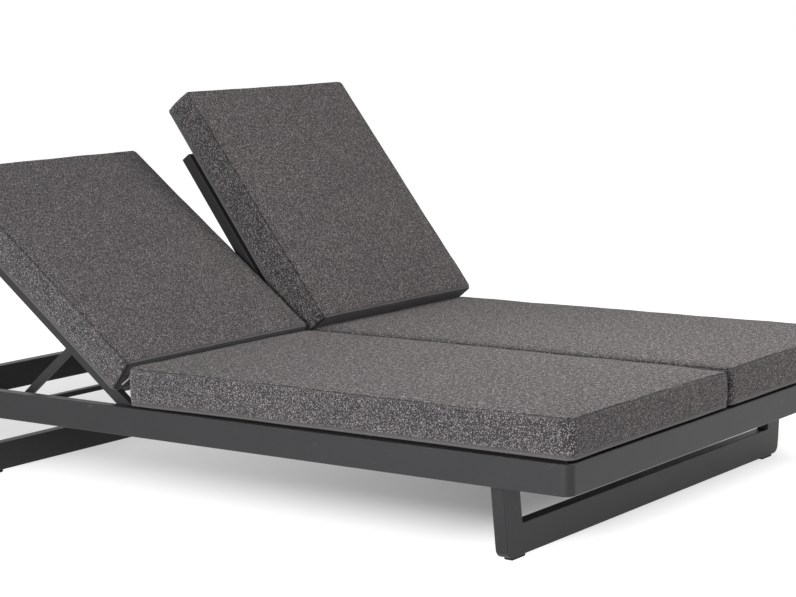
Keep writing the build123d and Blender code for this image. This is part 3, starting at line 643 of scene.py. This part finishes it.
def tab_mesh(name, eye, tip):
    """Flat pull tab with round ends, softened edges and a hole at its eye, facing -Y."""
    along = (tip - eye).normalized()
    out = Vector((0, -1, 0))
    out = (out - along * out.dot(along)).normalized()
    across = along.cross(out)
    length = (tip - eye).length
    half_turn = math.pi * (np.arange(TAB_END_POINTS) + 0.5) / TAB_END_POINTS - math.pi / 2
    arc = np.stack([np.cos(half_turn), np.sin(half_turn)], 1)
    outer = np.concatenate([(length, 0) + TAB_TIP_RADIUS * arc, -TAB_EYE_RADIUS * arc])
    turns = np.arctan2(outer[:, 1], outer[:, 0])
    hole = TAB_HOLE_RADIUS * np.stack([np.cos(turns), np.sin(turns)], 1)
    middle = np.array([length / 2, 0])
    inward = (middle - outer) / np.linalg.norm(middle - outer, axis=1)[:, None]
    narrowed = outer + inward * TAB_SOFT_EDGE
    widened = hole * (1 + TAB_SOFT_EDGE / TAB_HOLE_RADIUS)
    levels = [(narrowed, -0.5), (outer, -0.2), (outer, 0.2), (narrowed, 0.5),
              (widened, 0.5), (hole, 0.2), (hole, -0.2), (widened, -0.5)]
    count = len(outer)
    points = [eye + along * a + across * b + out * (level * TAB_THICKNESS)
              for ring, level in levels for a, b in ring]
    faces = []
    for n in range(len(levels)):
        m = (n + 1) % len(levels)
        for k in range(count):
            j = (k + 1) % count
            faces.append((n * count + k, n * count + j, m * count + j, m * count + k))
    return mesh_from(name, points, faces, smooth=False)


# Materials

class Nodes:
    """Short way to add and join nodes in one tree."""

    def __init__(self, tree):
        self.tree = tree

    def add(self, kind, **inputs):
        node = self.tree.nodes.new(kind)
        for name, value in inputs.items():
            self.give(node, name, value)
        return node

    def give(self, node, name, value):
        key = int(name[1:]) if name[0] == "_" else name.replace("_", " ")
        socket = node.inputs[key]
        if isinstance(value, bpy.types.NodeSocket):
            self.tree.links.new(value, socket)
        else:
            socket.default_value = value

    def math(self, operation, first, second=0.0, third=None):
        node = self.tree.nodes.new("ShaderNodeMath")
        node.operation = operation
        self.give(node, "_0", first)
        self.give(node, "_1", second)
        if third is not None:
            self.give(node, "_2", third)
        return node.outputs[0]

    def mix(self, factor, first, second, blend="MIX"):
        node = self.tree.nodes.new("ShaderNodeMix")
        node.data_type = "RGBA"
        node.blend_type = blend
        self.give(node, "_0", factor)
        self.give(node, "_6", first)
        self.give(node, "_7", second)
        return node.outputs[2]

    def ramp(self, factor, *stops):
        node = self.tree.nodes.new("ShaderNodeValToRGB")
        elements = node.color_ramp.elements
        while len(elements) < len(stops):
            elements.new(0.5)
        for element, (place, value) in zip(elements, stops):
            element.position = place
            element.color = value if len(value) == 4 else (*value, 1)
        self.give(node, "_0", factor)
        return node.outputs[0]


def group(name, inputs, outputs):
    """Empty shader group with named sockets. Inputs are (name, type, default)."""
    tree = bpy.data.node_groups.new(name, "ShaderNodeTree")
    for label, kind, default in inputs:
        socket = tree.interface.new_socket(name=label, in_out="INPUT", socket_type="NodeSocket" + kind)
        if default is not None:
            socket.default_value = default
    for label, kind in outputs:
        tree.interface.new_socket(name=label, in_out="OUTPUT", socket_type="NodeSocket" + kind)
    nodes = Nodes(tree)
    return tree, nodes, nodes.add("NodeGroupInput"), nodes.add("NodeGroupOutput")


def woven_relief(n, u, v, over):
    """Height of a plain weave. The warp lies on top where over is 1, and the weft where it is 0."""
    warp_crown = n.math("ABSOLUTE", n.math("SINE", n.math("MULTIPLY", u, math.pi)))
    weft_crown = n.math("ABSOLUTE", n.math("SINE", n.math("MULTIPLY", v, math.pi)))
    crossing = n.math("MULTIPLY", warp_crown, weft_crown)
    ridge = one_of(n, over, warp_crown, weft_crown)
    return n.math("ADD", n.math("MULTIPLY", ridge, 0.35), n.math("MULTIPLY", crossing, 0.65))


def one_of(n, over, warp, weft):
    """The warp's value where it lies on top, and otherwise the weft's."""
    under = n.math("SUBTRACT", 1.0, over)
    return n.math("ADD", n.math("MULTIPLY", warp, over), n.math("MULTIPLY", weft, under))


def yarn_tone(n, number, along):
    """Slow change of tone along each yarn, from the yarn's number and the way along it."""
    place = n.add("ShaderNodeCombineXYZ", _0=n.math("MULTIPLY", number, 5.37),
                  _1=n.math("MULTIPLY", along, 0.45))
    return n.add("ShaderNodeTexNoise", Vector=place.outputs[0], Scale=1.0, Detail=1.0).outputs[0]


def rubbed_tone(n, cloth, tone, rub):
    """Lightens and darkens the cloth in small clumps where it is worn by use."""
    clump = n.add("ShaderNodeTexNoise", Vector=cloth, Scale=1 / RUB_LUMP, Detail=1.0)
    clumped = n.ramp(clump.outputs[0], (0.36, (0.4, 0.4, 0.4)), (0.64, (1.6, 1.6, 1.6)))
    return n.mix(rub, tone, n.mix(1.0, tone, clumped, "MULTIPLY"))


def heathered_weave():
    """Plain weave of mixed light and dark yarns, from cloth coordinates in metres.

    Shade paints shade into the seam grooves and onto the rounded edge beside the next cushion, Rub clumps the tone
    of a worn panel, Plain gives the smooth cloth, the zip band input gives the near-black band at a back cushion's
    low end, which is partly painted shade, and Band marks the side panels that carry the row of stitches.
    """
    tree, n, source, result = group(
        "heathered_weave",
        [("Cloth", "Vector", None), ("Pitch", "Float", YARN_PITCH), ("Dark", "Color", DARK_YARN),
         ("Middle", "Color", MIDDLE_YARN), ("Fleck", "Color", FLECK_YARN), ("Shade", "Float", 0.0),
         ("Rub", "Float", 0.0), ("Plain", "Float", 0.0), ("Lining", "Float", 0.0),
         ("Band", "Float", 0.0)],
        [("Color", "Color"), ("Height", "Float"), ("Roughness", "Float")])
    split = n.add("ShaderNodeSeparateXYZ", Vector=source.outputs["Cloth"])
    wander = n.add("ShaderNodeTexNoise", Vector=source.outputs["Cloth"], Scale=60.0, Detail=2.0)
    drift = n.math("MULTIPLY_ADD", wander.outputs[0], YARN_WANDER, -YARN_WANDER / 2)
    u = n.math("ADD", n.math("DIVIDE", split.outputs[0], source.outputs["Pitch"]), drift)
    v = n.math("ADD", n.math("DIVIDE", split.outputs[1], source.outputs["Pitch"]), drift)
    column = n.math("FLOOR", u)
    row = n.math("FLOOR", v)
    over = n.math("FLOORED_MODULO", n.math("ADD", column, row), 2.0)
    height = woven_relief(n, u, v, over)
    warp_tone = yarn_tone(n, column, v)
    weft_tone = yarn_tone(n, n.math("ADD", row, WEFT_NUMBER_SHIFT), u)
    cell = n.add("ShaderNodeCombineXYZ", _0=column, _1=row)
    speck = n.add("ShaderNodeTexWhiteNoise", Vector=cell.outputs[0]).outputs[0]
    yarn = one_of(n, over, warp_tone, weft_tone)
    tone = n.math("ADD", n.math("MULTIPLY_ADD", yarn, 0.5, -0.25), speck)
    low = n.mix(n.math("MULTIPLY", tone, 1.6), source.outputs["Dark"], source.outputs["Middle"])
    bright = n.add("ShaderNodeMapRange", Value=tone, From_Min=0.72, From_Max=1.0)
    mixed = n.mix(bright.outputs[0], low, source.outputs["Fleck"])
    faded = n.add("ShaderNodeTexNoise", Vector=source.outputs["Cloth"], Scale=6.0, Detail=3.0)
    fade = n.ramp(faded.outputs[0], (0.3, (0.94, 0.94, 0.95)), (0.7, (1.06, 1.05, 1.04)))
    worn = n.mix(1.0, mixed, fade, "MULTIPLY")
    worn = rubbed_tone(n, source.outputs["Cloth"], worn, source.outputs["Rub"])
    # Painted shade in the low gaps between the yarns, darker where the weave lies lower.
    gap_shade = n.ramp(height, (0.0, (0.3, 0.3, 0.3)), (0.5, (1.0, 1.0, 1.0)))
    worn = n.mix(1.0, worn, gap_shade, "MULTIPLY")
    # The zip band's near-black is partly its own dark cloth and partly painted shade of the gap at the backrest's
    # foot.
    calm = n.mix(source.outputs["Lining"], PLAIN_CLOTH, ZIP_BAND_WITH_PAINTED_SHADE)
    streak = n.ramp(weft_tone, (0.3, (0.85, 0.85, 0.85)), (0.7, (1.15, 1.15, 1.15)))
    calm = n.mix(1.0, calm, streak, "MULTIPLY")
    worn = n.mix(source.outputs["Plain"], worn, calm)
    thread = stitch_mask(n, split, source.outputs["Band"])
    worn = n.mix(thread, worn, STITCH_THREAD)
    # Painted shade: the seams and the edge beside the next cushion are darkened towards near black.
    final = n.mix(n.math("MULTIPLY", source.outputs["Shade"], 0.85), worn, SEAM_PAINTED_SHADE)
    relief = n.math("MULTIPLY", height, n.math("MULTIPLY_ADD", source.outputs["Plain"], -0.75, 1.0))
    relief = n.math("ADD", relief, n.math("MULTIPLY", thread, 0.8))
    n.give(result, "Color", final)
    n.give(result, "Height", relief)
    n.give(result, "Roughness", n.math("MULTIPLY_ADD", speck, 0.12, 0.82))
    return tree


def stitch_mask(n, split, band):
    """1 on the short threads of the row of stitches below the upper seam, on the side band only."""
    off = n.math("ABSOLUTE", n.math("SUBTRACT", split.outputs[1], STITCH_DEPTH))
    in_row = n.math("LESS_THAN", off, STITCH_WIDTH / 2)
    place = n.math("FRACT", n.math("DIVIDE", split.outputs[0], STITCH_PITCH))
    on_thread = n.math("LESS_THAN", place, STITCH_LENGTH_SHARE)
    on_band = n.math("GREATER_THAN", band, 0.98)
    return n.math("MULTIPLY", n.math("MULTIPLY", in_row, on_thread), on_band)


def powder_coat():
    """Fine orange-peel grain of a powder coat, with faint dust and tone changes."""
    tree, n, source, result = group(
        "powder_coat",
        [("Base", "Color", (0.08, 0.08, 0.085, 1)), ("Grain", "Float", 1600.0), ("Gloss", "Float", 0.45)],
        [("Color", "Color"), ("Height", "Float"), ("Roughness", "Float")])
    place = n.add("ShaderNodeTexCoord").outputs["Object"]
    grain = n.add("ShaderNodeTexNoise", Vector=place, Scale=source.outputs["Grain"], Detail=2.0)
    cloud = n.add("ShaderNodeTexNoise", Vector=place, Scale=7.0, Detail=4.0, Roughness=0.6)
    scuff = n.add("ShaderNodeTexNoise", Vector=place, Scale=42.0, Detail=5.0, Roughness=0.7)
    tint = n.ramp(cloud.outputs[0], (0.35, (0.95, 0.95, 0.95)), (0.65, (1.05, 1.05, 1.05)))
    speckle = n.ramp(grain.outputs[0], (0.4, (0.93, 0.93, 0.93)), (0.62, (1.07, 1.07, 1.07)))
    colour = n.mix(1.0, n.mix(1.0, source.outputs["Base"], tint, "MULTIPLY"), speckle, "MULTIPLY")
    dust = n.ramp(scuff.outputs[0], (0.62, (0.0, 0.0, 0.0)), (0.8, (0.05, 0.05, 0.05)))
    colour = n.mix(1.0, colour, dust, "ADD")
    n.give(result, "Color", colour)
    n.give(result, "Height", grain.outputs[0])
    roughness = n.math("MULTIPLY_ADD", cloud.outputs[0], 0.12, source.outputs["Gloss"])
    n.give(result, "Roughness", roughness)
    return tree


def brushed_grain():
    """Fine streaks along one object axis, for turned or drawn metal."""
    tree, n, source, result = group(
        "brushed_grain", [("Base", "Color", (0.4, 0.4, 0.4, 1)), ("Gloss", "Float", 0.3)],
        [("Color", "Color"), ("Height", "Float"), ("Roughness", "Float")])
    place = n.add("ShaderNodeTexCoord").outputs["Object"]
    stretch = n.add("ShaderNodeMapping", Vector=place, Scale=(30.0, 900.0, 900.0))
    streak = n.add("ShaderNodeTexNoise", Vector=stretch.outputs[0], Scale=1.0, Detail=3.0)
    tint = n.ramp(streak.outputs[0], (0.3, (0.8, 0.8, 0.8)), (0.7, (1.1, 1.1, 1.1)))
    n.give(result, "Color", n.mix(1.0, source.outputs["Base"], tint, "MULTIPLY"))
    n.give(result, "Height", streak.outputs[0])
    n.give(result, "Roughness", n.math("MULTIPLY_ADD", streak.outputs[0], 0.2, source.outputs["Gloss"]))
    return tree


def empty_material(name):
    """New material that holds a shader and its output, and nothing else."""
    material = bpy.data.materials.new(name)
    material.use_nodes = True
    material.node_tree.nodes.clear()
    nodes = Nodes(material.node_tree)
    shader = nodes.add("ShaderNodeBsdfPrincipled")
    output = nodes.add("ShaderNodeOutputMaterial", Surface=shader.outputs[0])
    output.target = "ALL"
    return material, nodes, shader


def place_group(nodes, tree, **inputs):
    """Places a shader group in a material with its own values."""
    node = nodes.tree.nodes.new("ShaderNodeGroup")
    node.node_tree = tree
    for name, value in inputs.items():
        nodes.give(node, name, value)
    return node


def dress_shader(nodes, shader, texture, bump_distance, bump_strength=1.0):
    """Joins a texture group's colour, roughness and height to the shader."""
    nodes.give(shader, "Base_Color", texture.outputs["Color"])
    nodes.give(shader, "Roughness", texture.outputs["Roughness"])
    bump = nodes.add("ShaderNodeBump", Height=texture.outputs["Height"], Strength=bump_strength,
                     Distance=bump_distance)
    nodes.give(shader, "Normal", bump.outputs[0])


def fabric_material(name, tree):
    """Woven cloth. Its mesh gives the cloth coordinates, where it is seamed, worn or plain, and where shade is
    painted.
    """
    material, nodes, shader = empty_material(name)
    cloth = nodes.add("ShaderNodeUVMap")
    cloth.uv_map = "weave"
    texture = place_group(nodes, tree, Cloth=cloth.outputs[0], Pitch=YARN_PITCH)
    for label, attribute in (("Shade", "seam_shade"), ("Rub", "rub"), ("Plain", "plain"),
                             ("Lining", "lining"), ("Band", "band")):
        reader = nodes.add("ShaderNodeAttribute")
        reader.attribute_name = attribute
        nodes.give(texture, label, reader.outputs["Fac"])
    dress_shader(nodes, shader, texture, WEAVE_RELIEF)
    shader.inputs["Sheen Weight"].default_value = 0.25
    shader.inputs["Sheen Roughness"].default_value = 0.5
    shader.inputs["Specular IOR Level"].default_value = 0.2
    return material


def coated_material(name, tree, base, gloss, grain, shine):
    """Powder-coated metal or moulded nylon. A higher gloss value is a rougher surface."""
    material, nodes, shader = empty_material(name)
    texture = place_group(nodes, tree, Base=(*base, 1), Gloss=gloss, Grain=grain)
    dress_shader(nodes, shader, texture, COAT_RELIEF, 0.5)
    shader.inputs["Specular IOR Level"].default_value = shine
    return material


def steel_material(name, tree, base, gloss):
    """Bare satin metal with drawn streaks."""
    material, nodes, shader = empty_material(name)
    texture = place_group(nodes, tree, Base=(*base, 1), Gloss=gloss)
    dress_shader(nodes, shader, texture, STEEL_RELIEF, 0.4)
    shader.inputs["Metallic"].default_value = 1.0
    return material


def finishes():
    """One material for each slot of the record, and a black coat for the seat slats that is painted shade of the
    gap under the cushions' edges.
    """
    coat = powder_coat()
    grain = brushed_grain()
    materials = {
        "frame_metal": coated_material("anthracite_coat", coat, base=(0.0335, 0.033, 0.0345),
                                       gloss=0.4, grain=1500.0, shine=0.25),
        "cushion_fabric": fabric_material("charcoal_weave", heathered_weave()),
        "black_nylon": coated_material("black_nylon", coat, base=(0.012, 0.012, 0.013),
                                       gloss=0.5, grain=900.0, shine=0.2),
        "bolt_steel": steel_material("bolt_steel", grain, base=(0.42, 0.42, 0.43), gloss=0.28),
        "zip_metal": steel_material("zip_gunmetal", grain, base=(0.5, 0.5, 0.51), gloss=0.22),
    }
    # Painted shade: the slats are coated black so that the gap under the cushions' edges reads as deep shadow.
    slat_shade_coat = coated_material("slat_painted_shade", coat, base=(0.006, 0.006, 0.006),
                                gloss=0.6, grain=1500.0, shine=0.1)
    return materials, slat_shade_coat


def finish_solids(materials, slat_shade_coat):
    """Gives every CAD node the material of its slot in the record, and the seat slats a black coat of painted
    shade.
    """
    slots = {part["node"]: part["material_slot"] for part in frame["record"]["subparts"]}
    for name, obj in frame["nodes"].items():
        obj.data.materials.clear()
        finish = slat_shade_coat if name.startswith("seat_slats") else materials[slots[name]]
        obj.data.materials.append(finish)


# Cushions

def flat_box(node, angle):
    """Corners of a cushion solid turned down flat, and its seam's height above its underside."""
    turn = Matrix.Translation(hinge) @ Matrix.Rotation(-angle, 4, "X") @ Matrix.Translation(-hinge)
    places = np.array([turn @ v.co for v in frame["nodes"][node].data.vertices])
    low, high = Vector(places.min(0)), Vector(places.max(0))
    at_end = places[:, 1] > high.y - END_STRIP
    return low, high, places[at_end, 2].max() - low.z


def raise_up(angle):
    """Turns a cushion from the flat position to its backrest's angle at rest."""
    return Matrix.Translation(hinge) @ Matrix.Rotation(angle, 4, "X") @ Matrix.Translation(-hinge)


def place_piece(name, mesh, cushion, material):
    """Turns a flat mesh to the cushion's angle and makes it a piece that rides with the cushion."""
    mesh.transform(raise_up(cushion.angle))
    mesh.materials.append(material)
    obj = new_object(name, mesh)
    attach(obj, cushion.body)
    return obj


def lounger_cushion(cushion, fabric):
    """Cover of one cushion, with a welt round its lower edge."""
    low, high, height = flat_box(cushion.node, cushion.angle)
    mesh, shell = cushion_mesh(cushion, low, high, height)
    places = positions(mesh)
    lower_edge = [places[v] for v in shell.rows[-2]]
    welt = tube_mesh(cushion.node + "_welt", lower_edge, WELT_RADIUS, WELT_SIDES)
    cover = place_piece(cushion.node + "_cover", mesh, cushion, fabric)
    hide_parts(cushion.node)
    place_piece(cushion.node + "_welt", welt, cushion, fabric)


def zip_pieces(cushion, side, coil_material, tab_material):
    """Coil along the lower end of a back cushion, and the tab that hangs from its slider."""
    low, high, _ = flat_box(cushion.node, cushion.angle)
    slider_low, slider_high, _ = flat_box("zip_slider_" + side, cushion.angle)
    middle_z = (slider_low.z + slider_high.z) / 2
    start = Vector((low.x + COIL_END_GAP, low.y, middle_z))
    coil = coil_mesh("zip_coil_" + side, start, Vector((high.x - COIL_END_GAP, low.y, middle_z)))
    place_piece("zip_coil_" + side, coil, cushion, coil_material)
    eye = Vector((slider_low.x + TAB_EYE_INSET, slider_low.y - TAB_THICKNESS / 2 - TAB_GAP, middle_z))
    tip = eye + Vector((TAB_REACH[0], 0, TAB_REACH[1]))
    tab = tab_mesh("zip_tab_" + side, eye, tip)
    place_piece("zip_tab_" + side, tab, cushion, tab_material)


def backrest_angle(side):
    """Angle of a backrest at rest, from the way its cushion slides."""
    slide = next(j for j in frame["joints"] if j["name"] == side + "_cushion_slide")
    return math.atan2(slide["axis"][2], slide["axis"][1])


def cushions(fabric, coil_material, tab_material):
    """The two seat cushions and the two back cushions with their zips."""
    seat_left = Cushion("seat_cushion_left", "frame", angle=0, seed=1, rear_sign=1, inner_sign=1,
                        corner_radius=SEAT_CORNER_RADIUS, rear_radius=SEAT_REAR_RADIUS,
                        edge_droop=EDGE_DROOP, corner_droop=CORNER_DROOP)
    seat_right = Cushion("seat_cushion_right", "frame", angle=0, seed=2, rear_sign=1, inner_sign=-1,
                         corner_radius=SEAT_CORNER_RADIUS, rear_radius=SEAT_REAR_RADIUS,
                         inner_radius=SEAT_INNER_RADIUS)
    back_left = Cushion("back_cushion_left", "back_cushion_left", angle=backrest_angle("left"), seed=3,
                        rear_sign=-1, inner_sign=1, corner_radius=BACK_CORNER_RADIUS)
    back_right = Cushion("back_cushion_right", "back_cushion_right", angle=backrest_angle("right"),
                         seed=4, rear_sign=-1, inner_sign=-1, corner_radius=BACK_CORNER_RADIUS,
                         lower_rise=RIGHT_LOWER_RISE)
    for cushion in (seat_left, seat_right):
        lounger_cushion(cushion, fabric)
    for side, cushion in (("left", back_left), ("right", back_right)):
        lounger_cushion(cushion, fabric)
        zip_pieces(cushion, side, coil_material, tab_material)


# Stage

def shade_edge(nodes, split):
    """0 on the floor under the middle of the lounger, 1 past its edges."""
    gaps = []
    for axis, half in enumerate(SHADE_HALF_SIZE):
        off = nodes.math("ABSOLUTE", nodes.math("SUBTRACT", split.outputs[axis], SHADE_MIDDLE[axis]))
        gaps.append(nodes.math("MAXIMUM", nodes.math("SUBTRACT", off, half), 0.0))
    square = nodes.math("ADD", nodes.math("POWER", gaps[0], 2.0), nodes.math("POWER", gaps[1], 2.0))
    gap = nodes.math("SQRT", square)
    fade = nodes.add("ShaderNodeMapRange", Value=gap, From_Min=SHADE_FADE[0], From_Max=SHADE_FADE[1])
    fade.interpolation_type = "SMOOTHSTEP"
    return fade.outputs[0]


def floor():
    """Pale floor with the lounger's real shadow and a painted shadow from the shaped lift, fading to white away
    from it.
    """
    size = FLOOR_HALF_SIZE
    corners = [(-size, -size, 0), (size, -size, 0), (size, size, 0), (-size, size, 0)]
    mesh = mesh_from("floor", corners, [(0, 1, 2, 3)])
    obj = new_object("floor", mesh)
    material = bpy.data.materials.new("floor_paper")
    material.use_nodes = True
    material.node_tree.nodes.clear()
    nodes = Nodes(material.node_tree)
    paper = nodes.add("ShaderNodeBsdfDiffuse", Color=(FLOOR_TONE, FLOOR_TONE, FLOOR_TONE, 1))
    path = nodes.add("ShaderNodeLightPath")
    seen = nodes.math("MAXIMUM", path.outputs["Is Camera Ray"], path.outputs["Is Glossy Ray"])
    seen = nodes.math("MAXIMUM", seen, path.outputs["Is Transmission Ray"])
    place = nodes.add("ShaderNodeTexCoord").outputs["Object"]
    split = nodes.add("ShaderNodeSeparateXYZ", Vector=place)
    # Painted shadow: the lift is low under the lounger, rises towards the head end and is full past the shade.
    near_lift = nodes.math("MULTIPLY_ADD", split.outputs[1], FLOOR_LIFT_SLOPE, FLOOR_LIFT)
    near_lift = nodes.math("MINIMUM", near_lift, FLOOR_REAR_LIFT)
    rest = nodes.math("SUBTRACT", FLOOR_FAR_LIFT, near_lift)
    lift = nodes.math("MULTIPLY_ADD", shade_edge(nodes, split), rest, near_lift)
    glow = nodes.add("ShaderNodeEmission", Strength=nodes.math("MULTIPLY", seen, lift))
    both = nodes.add("ShaderNodeAddShader", _0=paper.outputs[0], _1=glow.outputs[0])
    nodes.add("ShaderNodeOutputMaterial", Surface=both.outputs[0])
    mesh.materials.append(material)


def sky():
    """Weak even light from all round, seen as white by the camera and in reflections."""
    world = bpy.data.worlds.new("studio")
    bpy.context.scene.world = world
    world.use_nodes = True
    world.node_tree.nodes.clear()
    nodes = Nodes(world.node_tree)
    path = nodes.add("ShaderNodeLightPath")
    seen = nodes.math("MAXIMUM", path.outputs["Is Camera Ray"], path.outputs["Is Glossy Ray"])
    seen = nodes.math("MAXIMUM", seen, path.outputs["Is Transmission Ray"])
    strength = nodes.math("ADD", nodes.math("MULTIPLY", seen, 1 - SKY_LEVEL), SKY_LEVEL)
    background = nodes.add("ShaderNodeBackground", Color=(1, 1, 1, 1), Strength=strength)
    nodes.add("ShaderNodeOutputWorld", Surface=background.outputs[0])


def lamp(name, place, aim, size, power, spread, colour):
    """Rectangular lamp that faces the point it is aimed at."""
    light = bpy.data.lights.new(name, "AREA")
    light.shape = "RECTANGLE"
    light.size, light.size_y = size
    light.energy = power
    light.spread = math.radians(spread)
    light.color = colour
    obj = bpy.data.objects.new(name, light)
    bpy.context.scene.collection.objects.link(obj)
    obj.location = place
    obj.rotation_euler = (Vector(aim) - Vector(place)).to_track_quat("-Z", "Y").to_euler()


def camera():
    """Camera at the photograph's place, with its tilt and focal length."""
    yaw = math.radians(CAMERA_YAW_DEG)
    pitch = math.radians(CAMERA_PITCH_DEG)
    roll = math.radians(CAMERA_ROLL_DEG)
    ahead = Vector((-math.sin(yaw) * math.cos(pitch), math.cos(yaw) * math.cos(pitch), -math.sin(pitch)))
    right = Vector((math.cos(yaw), math.sin(yaw), 0))
    up = right.cross(ahead)
    tilted_right = math.cos(roll) * right + math.sin(roll) * up
    tilted_up = -math.sin(roll) * right + math.cos(roll) * up
    data = bpy.data.cameras.new("camera")
    data.sensor_width = SENSOR_MM
    data.lens = FOCAL_PX * SENSOR_MM / PHOTO_WIDTH_PX
    data.clip_end = 200
    obj = bpy.data.objects.new("camera", data)
    bpy.context.scene.collection.objects.link(obj)
    turn = Matrix((tilted_right, tilted_up, -ahead)).transposed().to_4x4()
    obj.matrix_world = Matrix.Translation(CAMERA_PLACE) @ turn
    bpy.context.scene.camera = obj


def main():
    bpy.context.scene.view_settings.view_transform = "Standard"
    camera()
    floor()
    sky()
    for settings in LAMPS:
        lamp(*settings)
    materials, slat_shade_coat = finishes()
    finish_solids(materials, slat_shade_coat)
    cushions(materials["cushion_fabric"], materials["black_nylon"], materials["zip_metal"])


main()
